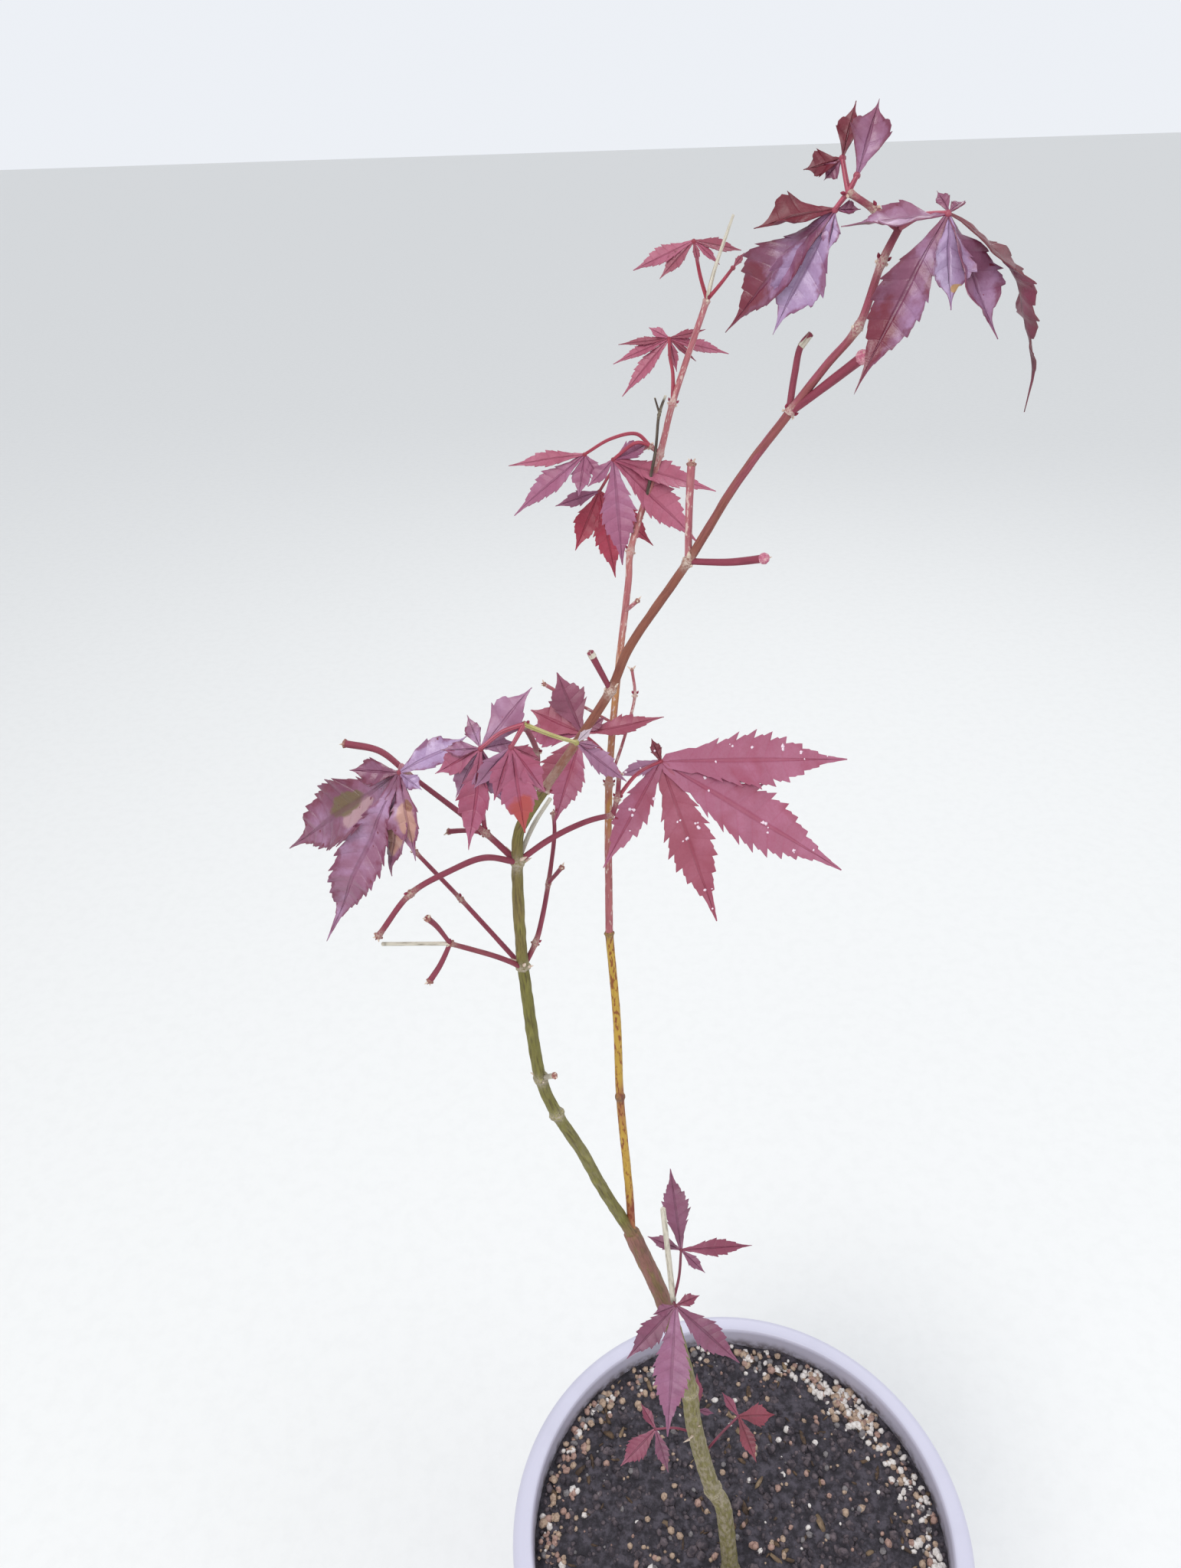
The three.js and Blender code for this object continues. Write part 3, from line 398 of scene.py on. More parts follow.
class Shape:
    """Points and faces in millimetres, gathered for one mesh, with a tint for each face.

    Each point also has a grain, its place in the material's own pattern, and marks. The marks of bark are its
    tone, how near a ring is, and the height of its relief.
    """

    def __init__(self):
        self.points, self.faces, self.tints, self.grain, self.marks = [], [], [], [], []
        self.count = 0

    def add(self, points, faces, tints, grain=None, marks=None):
        points = np.asarray(points, float)
        plain = np.zeros((len(points), 3))
        self.faces += [[i + self.count for i in face] for face in faces]
        self.tints += [tints] * len(faces) if isinstance(tints, str) else tints
        self.points.append(points)
        self.grain.append(plain if grain is None else grain)
        self.marks.append(plain if marks is None else marks)
        self.count += len(points)

    def build(self, name, slot, nodes=(), sharp=180):
        """Makes the mesh's object, dresses it, and lets it stand for CAD nodes."""
        mesh = bpy.data.meshes.new(name)
        mesh.from_pydata(np.concatenate(self.points) * MM, [], self.faces)
        used = sorted(set(self.tints))
        for tint in used:
            mesh.materials.append(MATERIALS[tint])
        mesh.polygons.foreach_set("material_index", [used.index(tint) for tint in self.tints])
        mesh.polygons.foreach_set("use_smooth", [True] * len(mesh.polygons))
        for label, values in (("grain", self.grain), ("marks", self.marks)):
            layer = mesh.attributes.new(label, "FLOAT_VECTOR", "POINT")
            layer.data.foreach_set("vector", np.concatenate(values).astype(np.float32).ravel())
        mesh.set_sharp_from_angle(angle=math.radians(sharp))
        mesh.update()
        piece = put_in_scene(name, mesh)
        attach(piece, "root")
        if nodes:
            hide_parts(*nodes)
        return piece


def unit(vector):
    return vector / np.linalg.norm(vector)


def direction(lean, heading):
    lean, heading = math.radians(lean), math.radians(heading)
    level = math.sin(lean)
    return np.array([level * math.cos(heading), level * math.sin(heading), math.cos(lean)])


def walk(start, steps):
    """The places reached from start by steps of (length, lean from upright, heading)."""
    places = [np.array(start, float)]
    for length, lean, heading in steps:
        places.append(places[-1] + length * direction(lean, heading))
    return places


def place_on(places, index):
    """The place at an index along a limb, where a fraction lies between two places."""
    before = int(index)
    after = min(before + 1, len(places) - 1)
    return places[before] + (places[after] - places[before]) * (index - before)


def smooth_line(places):
    """Points on the centripetal curve through the places, SAMPLES to each step."""
    line = []
    ends = [2 * places[0] - places[1], *places, 2 * places[-1] - places[-2]]
    for a, b, c, d in zip(ends, ends[1:], ends[2:], ends[3:]):
        before, span, after = (math.sqrt(np.linalg.norm(q - p)) for p, q in ((a, b), (b, c), (c, d)))
        leave = ((b - a) / before - (c - a) / (before + span) + (c - b) / span) * span
        arrive = ((c - b) / span - (d - b) / (span + after) + (d - c) / after) * span
        for t in np.arange(SAMPLES) / SAMPLES:
            line.append(
                b * (2 * t**3 - 3 * t**2 + 1) + leave * (t**3 - 2 * t**2 + t)
                + c * (3 * t**2 - 2 * t**3) + arrive * (t**3 - t**2)
            )
    return np.array([*line, places[-1]])


NOISE_STEP = 17.3
GRAIN_STEP = 31.7


def noises(points, scale, seed=0):
    """Smooth noise from -1 to 1 at each point, for features of about scale in size."""
    moved = np.asarray(points, float) / scale + NOISE_STEP * seed
    return np.array([noise.noise(p) for p in moved])


def bell(distance, width):
    return np.exp(-((distance / width) ** 2))


def grid(rows, columns, closed=False):
    """The faces of a grid of rows, whose last column joins its first when closed."""
    faces = []
    for row in range(rows - 1):
        low, high = row * columns, (row + 1) * columns
        for column in range(columns if closed else columns - 1):
            after = (column + 1) % columns
            faces.append((low + column, low + after, high + after, high + column))
    return faces


def barrel(rows, sides):
    """The faces of a closed body made of rings of points, with a flat face at each end."""
    return [*grid(rows, sides, closed=True), range(sides)[::-1], range((rows - 1) * sides, rows * sides)]


def circle(radius, height, sides, centre=(0, 0)):
    angles = np.arange(sides) * 2 * math.pi / sides
    x, y = centre[0] + radius * np.cos(angles), centre[1] + radius * np.sin(angles)
    return np.stack([x, y, np.full(sides, height)], 1)


def tube(shape, places, radius, tint, *, sides, spacing, relief, cork=0, rings=(), flare=0,
         tones=PLAIN_TONES, seed=0):
    """A limb along the curve through its places, with its bark's relief, swollen rings and a rounded end.

    relief is the height of its fine fibres and of its lumps, cork that of the scales round its rings, and
    tones are the pairs of share along it and strength of its second colour.
    """
    line = smooth_line(places)
    reach = np.concatenate([[0], np.cumsum(np.linalg.norm(np.diff(line, axis=0), axis=1))])
    total = reach[-1]
    ring_at = [reach[ring * SAMPLES] for ring in rings]
    along = np.linspace(0, total, max(4, int(total / spacing) + 1))
    extra = [at + off for at in ring_at for off in RING_ROWS if 0 < at + off < total]
    along = np.unique(np.concatenate([along, extra]))
    centres = np.stack([np.interp(along, reach, line[:, k]) for k in range(3)], 1)
    tangents = np.gradient(centres, along, axis=0)
    tangents /= np.linalg.norm(tangents, axis=1)[:, None]

    size = radius[0] + (radius[1] - radius[0]) * along / total
    near = np.zeros(len(along))
    swell = RING_SWELL * min(1, RING_SWELL_GIRTH / radius[0])
    for at in ring_at:
        size = size * (1 + swell * bell(along - at, RING_WIDTH))
        size = size * (1 - RING_GROOVE * bell(along - at, RING_GROOVE_WIDTH))
        near = np.maximum(near, bell(along - at, RING_REACH * (1 + cork)))
    above = np.maximum(0, centres[:, 2] - SOIL_LEVEL)
    size = size + flare * np.maximum(0, 1 - above / FLARE_HEIGHT) ** FLARE_CURVE

    bow = np.radians([30, 60, 90])
    rise = TIP_ROUND * size[-1] * np.sin(bow)
    along = np.concatenate([along, total + rise])
    centres = np.concatenate([centres, centres[-1] + tangents[-1] * rise[:, None]])
    tangents = np.concatenate([tangents, [tangents[-1]] * 3])
    size = np.concatenate([size, size[-1] * np.maximum(np.cos(bow), TIP_LEAST)])
    near = np.repeat(np.concatenate([near, [near[-1]] * 3]), sides)

    turn = circle(1, 0, sides)
    across = np.array([1.0, 0, 0])
    out = []
    for tangent in tangents:
        across = unit(across - tangent * (across @ tangent))
        out.append(turn[:, :1] * across + turn[:, 1:2] * np.cross(tangent, across))
    grain = np.concatenate([circle(radius[0], s, sides) for s in along])
    height = relief[0] * noises(grain * FIBRE_STRETCH, FIBRE_SIZE, seed + 1)
    height += relief[1] * noises(grain * LUMP_STRETCH, LUMP_SIZE, seed + 2)
    if cork:
        rough = abs(noises(grain * SCALE_STRETCH, SCALE_SIZES[0], seed + 3))
        rough += 0.5 * abs(noises(grain, SCALE_SIZES[1], seed + 4))
        height += cork * near * (rough - 0.25)
    points = centres[:, None] + np.array(out) * (size[:, None] + height.reshape(-1, sides))[:, :, None]
    tone = np.interp(along / total, *zip(*tones))
    # How high the relief stands, which places the painted highlight on the bark's ridges
    raised_highlight = np.clip(height / sum(relief) * 0.5 + 0.5, 0, 1)
    marks = np.stack([np.repeat(tone, sides), near, raised_highlight], 1)
    shape.add(points.reshape(-1, 3), barrel(len(size), sides), tint, grain + (0, 0, GRAIN_STEP * seed), marks)


# The outline of a spindle, as (share of its length, share of its girth), round its widest place
SPINDLE_FOOT = ((0, 0.55), (0.2, 0.9))
SPINDLE_TIP = ((0.7, 0.66), (0.9, 0.3), (1, 0.03))


def spindle(shape, at, along, length, girth, tint, bulge=0.4, sides=7):
    """A small pointed body, such as a bud or the prong of a scar."""
    along = unit(np.asarray(along, float))
    across = unit(np.cross(along, (0.3, 0.5, 0.8)))
    turn = circle(girth, 0, sides)
    turn = turn[:, :1] * across + turn[:, 1:2] * np.cross(along, across)
    outline = (*SPINDLE_FOOT, (bulge, 1), *SPINDLE_TIP)
    rows = [at + along * length * share + turn * wide for share, wide in outline]
    shape.add(np.concatenate(rows), barrel(len(rows), sides), tint)


# Scars and buds, the sizes of which are (length, radius)
COLLAR_DEPTH = 0.9
COLLAR_LENGTH = 2.1
COLLAR_GIRTH = 1.35  # as a share of the shoot's
PRONG_LENGTH = 1.7
PRONG_RADIUS = 0.46
MIDDLE_PRONG = (1.8, 0.5)
SCAR_AT = 1.15  # as a share of the limb's girth
SCAR_SIZE = (0.9, 0.62)
BUD_SIZE = (1.7, 0.6)


def fork_tip(shape, at, along, girth, rng, scale=1.0):
    """The pale forked scar that ends a bare shoot: a collar and two or three short prongs."""
    along = unit(along)
    side = unit(np.cross(along, rng.normal(size=3)))
    foot = at - along * COLLAR_DEPTH * scale
    spindle(shape, foot, along, COLLAR_LENGTH * scale, girth * COLLAR_GIRTH, "scar_collar", bulge=0.5)
    for sign in (-1, 1):
        way = unit(along * 0.75 + side * sign * (0.7 + 0.2 * rng.random()))
        length = PRONG_LENGTH + rng.random()
        spindle(shape, at + way * 0.3, way, length * scale, PRONG_RADIUS * scale, "scar")
    if rng.random() < 0.6:
        way = unit(along + 0.2 * rng.normal(size=3))
        spindle(shape, at, way, *(size * scale for size in MIDDLE_PRONG), "bud")


def ring_scars(shape, at, along, girth, rng, tint):
    """Two small bud scars on opposite sides of a ring, and a bud or two above them."""
    side = unit(np.cross(along, (0.2, -1, 0.1)))
    side = unit(side + 0.5 * rng.normal(size=3))
    side = unit(side - along * (side @ along))
    for sign in (-1, 1):
        spot = at + side * sign * girth * SCAR_AT
        spindle(shape, spot - along * 0.5, unit(side * sign + 0.4 * along), *SCAR_SIZE, tint)
        if rng.random() < 0.7:
            spindle(shape, spot + along * 0.7, unit(side * sign * 0.6 + along), *BUD_SIZE, "bud")


# The columns of points across a blade, from one edge to the other
BLADE_COLUMNS = (-1, -0.66, -0.34, -0.045, 0.045, 0.34, 0.66, 1)
# The half width along a lobe, from its foot to its tip, as shares of its greatest
BLADE_PROFILE = ((0, 0.2), (0.06, 0.3), (0.14, 0.48), (0.25, 0.76), (0.36, 0.97), (0.44, 1.02), (0.58, 0.88),
                 (0.7, 0.6), (0.79, 0.36), (0.86, 0.18), (0.92, 0.1), (1, 0.02))
BLADE_WIDEST = 0.44
TEETH_FROM, TEETH_TO = 0.14, 0.93
# One tooth from notch to tip, as (share of its length, share of its depth)
TOOTH = ((0, -1), (0.38, -0.35), (0.52, -0.5), (0.8, 0.05), (0.94, 0.3))
TOOTH_LEAN = 0.85
RIPPLE_SIZE = 9
WAVE_SIZE = 22
RIB_GROOVE = 0.25
# How much of its curl a blade has at its foot, how much more at its tip, and how far that varies
CURL_AT_FOOT, CURL_GAIN, CURL_RANGE = 0.4, 0.8, (0.5, 1.3)
LEAST_BEND = 0.02
# Half widths at which a blade's ripples, its pleats and the groove of its rib are at their full height
RIPPLE_FULL, PLEAT_FULL, RIB_FULL = 5, 4, 3
DROOP_AT_HALF = 0.9
BLADE_HALF_THICKNESS = 0.16


def blade_rows(length, habit, rng):
    """The rows of points along a lobe: the share along it, its left and right tooth, and its veins' phase.

    Its foot and its very tip have no teeth.
    """
    teeth = max(3, round(length * (TEETH_TO - TEETH_FROM) / habit.tooth))
    rows = [(0, 0, 0, 0), (0.05, 0, 0, 0.2), (0.1, 0, 0, 0.5)]
    for tooth in range(teeth):
        left, right = (0.75 + 0.5 * rng.random() for _ in range(2))
        for share, depth in TOOTH:
            along = TEETH_FROM + (TEETH_TO - TEETH_FROM) * (tooth + share) / teeth
            rows.append((along, depth * left, depth * right, tooth + share + 1))
    rows += [(0.94, -0.4, -0.4, teeth + 1), (0.97, 0, 0, teeth + 1.4), (1, 0, 0, teeth + 2)]
    return (np.array(column, float)[:, None] for column in zip(*rows))


def add_sheet(shape, block, outward, tint, under, values):
    """A closed thin body round a grid of points, with a tint of its own below.

    outward is which way is up at each point, and values is its grain. Returns the points of its upper side.
    """
    normal = np.cross(np.gradient(block, axis=0), np.gradient(block, axis=1)).reshape(-1, 3)
    size = np.linalg.norm(normal, axis=1)[:, None]
    normal = np.where(size > 1e-6, normal / np.maximum(size, 1e-9), outward)
    normal *= np.sign(np.sum(normal * outward, axis=1))[:, None] * BLADE_HALF_THICKNESS
    points = block.reshape(-1, 3)
    rows, columns = block.shape[:2]
    count = rows * columns
    lower = [[i + count for i in face] for face in grid(rows, columns)]
    top = [[i - count for i in face[::-1]] for face in lower]
    numbers = np.arange(count).reshape(rows, columns)
    border = [numbers[:, 0], numbers[-1, 1:], numbers[-2::-1, -1], numbers[0, -2:0:-1]]
    border = np.concatenate(border).tolist()
    rim = [(p + count, q + count, q, p) for p, q in zip(border, border[1:] + border[:1])]
    tints = [tint] * len(top) + [under] * len(lower) + [tint] * len(rim)
    shape.add([*points + normal, *points - normal], top + lower + rim, tints, np.tile(values, (2, 1)))
    return block + normal.reshape(block.shape)


def blade(shape, at, axes, lobe, habit, under, rng):
    """One lobe of a leaf: a blade with toothed edges, veins that rise and fall, and curled sides.

    Returns the points of its upper side, row by row.
    """
    turn, length, droop, width, tint, *droop_share = lobe
    right, up, out = axes
    turn, droop = math.radians(turn), math.radians(droop)
    along = right * math.cos(turn) + up * math.sin(turn)
    half_droop = droop * (droop_share[0] if droop_share else DROOP_AT_HALF)
    middle = at + 0.5 * length * (along * math.cos(half_droop) - out * math.sin(half_droop))
    tip = at + length * (along * math.cos(droop) - out * math.sin(droop))
    side = np.cross(out, along)
    widest = length * width / 2
    share, left_tooth, right_tooth, phase = blade_rows(length, habit, rng)
    across = np.array(BLADE_COLUMNS)[None, :]
    from_rib = np.abs(across)
    profile = np.interp(share, *zip(*BLADE_PROFILE))
    profile = widest * profile ** np.where(share < BLADE_WIDEST, habit.waist, habit.tail)
    tooth = np.where(across == -1, left_tooth, np.where(across == 1, right_tooth, 0)) * habit.teeth
    reach = from_rib * profile * (1 + tooth)

    swept = np.minimum(1, share + reach * TOOTH_LEAN * (1 - share) / length).reshape(-1, 1)
    centre = (1 - swept) ** 2 * at + 2 * swept * (1 - swept) * middle + swept**2 * tip
    tangent = (1 - swept) * (middle - at) + swept * (tip - middle)
    tangent /= np.linalg.norm(tangent, axis=1)[:, None]
    face = np.cross(tangent, side)
    twist = habit.twist * rng.uniform(-1, 1) * swept
    sideways = side * np.cos(twist) + face * np.sin(twist)
    outward = face * np.cos(twist) - side * np.sin(twist)

    curls = np.where(across < 0, *[habit.curl * rng.uniform(*CURL_RANGE) for _ in range(2)])
    bend = np.maximum(curls * (CURL_AT_FOOT + CURL_GAIN * share), LEAST_BEND)
    angle = bend * reach / widest
    over = np.sign(across) * np.sin(angle) / bend * widest
    lift = (1 - np.cos(angle)) / bend * widest
    seed = rng.integers(1000)
    which_half = np.tile(np.sign(across) * RIPPLE_SIZE, (len(share), 1)).reshape(-1, 1)
    spot = np.concatenate([swept * length, which_half, 0 * swept], 1)
    ripple = noises(spot, RIPPLE_SIZE, seed).reshape(lift.shape)
    wave = noises(spot * (1, 0, 0), WAVE_SIZE, seed + 1).reshape(lift.shape)
    lift += habit.ripple * ripple * from_rib**1.5 * np.minimum(1, profile / RIPPLE_FULL)
    lift += habit.wave * wave * np.minimum(1, 3 * share)
    fold = from_rib * (1 - from_rib) * 4 * np.minimum(1, profile / PLEAT_FULL)
    lift -= habit.pleat * np.cos(2 * math.pi * (phase + 0.05)) * fold
    lift -= RIB_GROOVE * (from_rib < 0.1) * np.minimum(1, profile / RIB_FULL)
    surface = centre + sideways * over.reshape(-1, 1) + outward * lift.reshape(-1, 1)
    values = np.stack(np.broadcast_arrays(across, phase, swept.reshape(lift.shape)), 2).reshape(-1, 3)
    return add_sheet(shape, surface.reshape(*lift.shape, 3), outward, tint, under, values)


def leaf_axes(heading, rise):
    """The leaf's own directions: level right, up the blade, and out of its upper side."""
    out = direction(90 - rise, heading)
    right = unit(np.cross((0, 0, 1), out))
    return right, np.cross(out, right), out


def ball_mesh(level):
    made = bmesh.new()
    bmesh.ops.create_icosphere(made, subdivisions=level, radius=1)
    points = np.array([v.co for v in made.verts])
    faces = [tuple(v.index for v in face.verts) for face in made.faces]
    made.free()
    return points, faces


def lump(ball, at, size, turn, rng, rough=0.25):
    """The points of a small irregular lump."""
    points = ball * (1 + rough * rng.uniform(-1, 1, size=(len(ball), 1)))
    return (points * size) @ turn.T + at


def random_turn(rng):
    return np.array(Matrix.Rotation(rng.uniform(0, 6.28), 3, rng.normal(size=3)))


def lathe(shape, profile, tint, sides=PLANTER_SIDES, centre=(0, 0)):
    """A solid turned round an upright axis from a profile of (radius, height) that ends on the axis."""
    rows = [circle(radius, height, sides, centre) for radius, height in profile]
    shape.add(np.concatenate(rows), barrel(len(rows), sides), tint)


def arc(centre, radius, start, end, steps=7):
    """Points on an arc in a profile, from one angle to another in degrees."""
    places = []
    for angle in np.radians(np.linspace(start, end, steps)):
        places.append((centre[0] + radius * math.cos(angle), centre[1] + radius * math.sin(angle)))
    return places


def colour(code):
    """A linear colour from its six hex digits."""
    parts = [int(code[i:i + 2], 16) / 255 for i in (0, 2, 4)]
    return (*(c / 12.92 if c <= 0.04045 else ((c + 0.055) / 1.055) ** 2.4 for c in parts), 1)


class Wire:
    """A value or a vector in a material, with the arithmetic that puts nodes behind it."""

    def __init__(self, look, socket):
        self.look, self.socket = look, socket

    def calculate(self, kind, *others):
        return self.look.add("Math", dict(enumerate([self, *others])), operation=kind)

    __add__ = partialmethod(calculate, "ADD")
    __sub__ = partialmethod(calculate, "SUBTRACT")
    __mul__ = partialmethod(calculate, "MULTIPLY")
    __truediv__ = partialmethod(calculate, "DIVIDE")
    __abs__ = partialmethod(calculate, "ABSOLUTE")
    most = partialmethod(calculate, "MAXIMUM")
    wrap = partialmethod(calculate, "PINGPONG")

    def split(self):
        node = self.look.add("SeparateXYZ", {0: self}).socket.node
        return [Wire(self.look, socket) for socket in node.outputs]

    def stretch(self, *factors):
        return self.look.add("VectorMath", {0: self, 1: factors}, operation="MULTIPLY")

    def noise(self, scale, detail=3.0, rough=0.55):
        values = {"Vector": self, "Scale": scale, "Detail": detail, "Roughness": rough}
        return self.look.add("TexNoise", values)

    def ramp(self, low, high, first=0.0, last=1.0):
        """Goes smoothly from first to last as the value goes from low to high."""
        values = {0: self, 1: low, 2: high, 3: first, 4: last}
        return self.look.add("MapRange", values, interpolation_type="SMOOTHSTEP")


class Look:
    """A node material: its shader, and short ways to add nodes in front of it."""

    def __init__(self, name, roughness, **plain):
        self.material = bpy.data.materials.new(name)
        self.material.use_nodes = True
        self.tree = self.material.node_tree
        self.shader = self.tree.nodes["Principled BSDF"]
        self.put(self.shader.inputs["Roughness"], roughness)
        for socket, value in plain.items():
            self.put(self.shader.inputs[socket.replace("_", " ")], value)

    def put(self, socket, value):
        if isinstance(value, Wire):
            self.tree.links.new(value.socket, socket)
        else:
            socket.default_value = colour(value) if isinstance(value, str) else value

    def add(self, kind, values, out=0, **settings):
        node = self.tree.nodes.new("ShaderNode" + kind)
        for name, value in settings.items():
            setattr(node, name, value)
        for place, value in values.items():
            self.put(node.inputs[place], value)
        return Wire(self, node.outputs[out])

    def read(self, name):
        return self.add("Attribute", {}, out="Vector", attribute_name=name)

    def here(self):
        return self.add("TexCoord", {}, out="Object")

    def mix(self, share, a, b):
        return self.add("Mix", {0: share, 6: a, 7: b}, out=2, data_type="RGBA")

    def bump(self, height, distance):
        normal = self.add("Bump", {"Strength": 1.0, "Distance": distance, "Height": height})
        self.put(self.shader.inputs["Normal"], normal)

    def finish(self, base):
        self.put(self.shader.inputs["Base Color"], base)
        return self.material


def leaf_look(name, base, vein, painted_sheen, sheen_strength, edge=None, spots=()):
    """A leaf: its plain colour, a paler painted sheen in patches, a midrib and side veins, and a darker edge.

    spots are patches of another colour, each (colour, across, along, half width, half length) on the blade.
    """
    look = Look(name, 0.34 if edge else 0.45, Specular_IOR_Level=0.6)
    across, phase, along = look.read("grain").split()
    rib = abs(across).ramp(0.03, 0.12, 1, 0)
    side = (phase + 0.05).wrap(0.5).ramp(0.015, 0.09, 1, 0) * 0.22
    veins = rib.most(side)
    here = look.here()
    # Paler patches, a painted sheen of reflected sky on the blade
    sheen_patch = here.noise(75).ramp(0.4, 0.72, 0, sheen_strength)
    # Darker blotches in the vein colour: partly a painted shade of folds, partly the leaf's own darker colour
    shade_and_tone_blotch = here.stretch(1, 1.3, 0.8).noise(58, 2).ramp(0.48, 0.7, 0, 0.5)
    fine = here.noise(900, 4, 0.6)
    blotch = here.noise(210) - 0.5
    shade = look.mix(shade_and_tone_blotch, look.mix(sheen_patch, base, painted_sheen), vein)
    shade = look.mix(fine.ramp(0.35, 0.75, 0, 0.22), shade, vein)
    if edge:
        outer = abs(across) + blotch * 1.5
        shade = look.mix(outer.ramp(0.62, 1, 0, 0.75), shade, edge)
    for tone, spot_across, spot_along, half_width, half_length in spots:
        aside, ahead = (across - spot_across) / half_width, (along - spot_along) / half_length
        far = aside * aside + ahead * ahead + blotch * 1.6
        shade = look.mix(far.ramp(0.6, 1.15, 0.9, 0), shade, tone)
    look.bump(fine * 0.25 - veins * 0.5, 0.0006)
    return look.finish(look.mix(veins * 0.45, shade, vein))


def bark_look(name, base, fibre, raised_highlight, second, scale, specks=None, roughness=0.6, fibres=0.6):
    """Young bark: long fibres, a second colour where the tone says, and scales round the rings.

    Where the tone is below nothing, the scales spread over the bark between the rings too. specks are small
    spots, as (colour, where their ramp starts, where it ends).
    """
    look = Look(name, roughness, Specular_IOR_Level=0.35)
    grain = look.read("grain")
    tone, near, height = look.read("marks").split()
    streaks = grain.stretch(1, 1, 0.1).noise(1.1, 5, 0.65)
    blotch = grain.stretch(1, 1, 0.3).noise(0.16)
    shade = look.mix(streaks.ramp(0.45, 0.7, 0, fibres), base, fibre)
    # Higher places of the relief take a lighter colour, a painted highlight on the ridges
    shade = look.mix(height.ramp(0.55, 0.95, 0, fibres), shade, raised_highlight)
    toned = tone.most(0) * blotch.ramp(0.4, 0.58, 0.4, 1)
    shade = look.mix(toned, shade, look.mix(streaks.ramp(0.4, 0.7, 0, 0.5), second, fibre))
    if specks:
        speck, low, high = specks
        spots = grain.stretch(1, 1, 0.35).noise(0.8) + blotch * 0.35
        shade = look.mix(spots.ramp(low, high, 0, 0.85), shade, speck)
    rough = grain.noise(1.4, 4, 0.7)
    flakes = grain.stretch(1, 1, 0.45).noise(0.34, 4, 0.6).ramp(0.42, 0.62, 0.25, 1)
    flaky = near * rough.ramp(0.38, 0.6, 0.15, 0.95)
    flaky = flaky.most(tone * -1 * flakes * rough.ramp(0.3, 0.7, 0.6, 1))
    look.bump(streaks * 0.6 + rough * 0.4, 0.0006)
    return look.finish(look.mix(flaky, shade, scale))


def speckled_look(name, base, other, size, roughness, depth=0.0004, low=0.4, high=0.68):
    """A plain matter with a second colour in small patches of about size metres."""
    look = Look(name, roughness, Specular_IOR_Level=0.3)
    here = look.here()
    look.bump(here.noise(3 / size), depth)
    return look.finish(look.mix(here.noise(1 / size, 4, 0.62).ramp(low, high), base, other))


def plastic_look(name, base, dust, stain=None):
    """Moulded plastic, faintly dusty, with a tide of soil on the inside of the wall where it has a stain."""
    look = Look(name, 0.4, Specular_IOR_Level=0.5, Coat_Weight=0.12, Coat_Roughness=0.25)
    here = look.here()
    broad, small = here.noise(14, 4, 0.6), here.noise(160, 4, 0.65)
    shade = look.mix(broad.ramp(0.45, 0.75, 0, 0.35), base, dust)
    shade = look.mix(small.ramp(0.62, 0.8, 0, 0.3), shade, dust)
    if stain:
        tide = (here.split()[2] + broad * 0.014).ramp(*SOIL_TIDE, 0.85, 0)
        shade = look.mix(tide * small.ramp(0.3, 0.65, 0.2, 1), shade, stain)
    look.put(look.shader.inputs["Roughness"], broad.ramp(0.3, 0.7, 0.34, 0.52))
    look.bump(small + here.noise(2200, 2) * 0.3, 0.00012)
    return look.finish(shade)


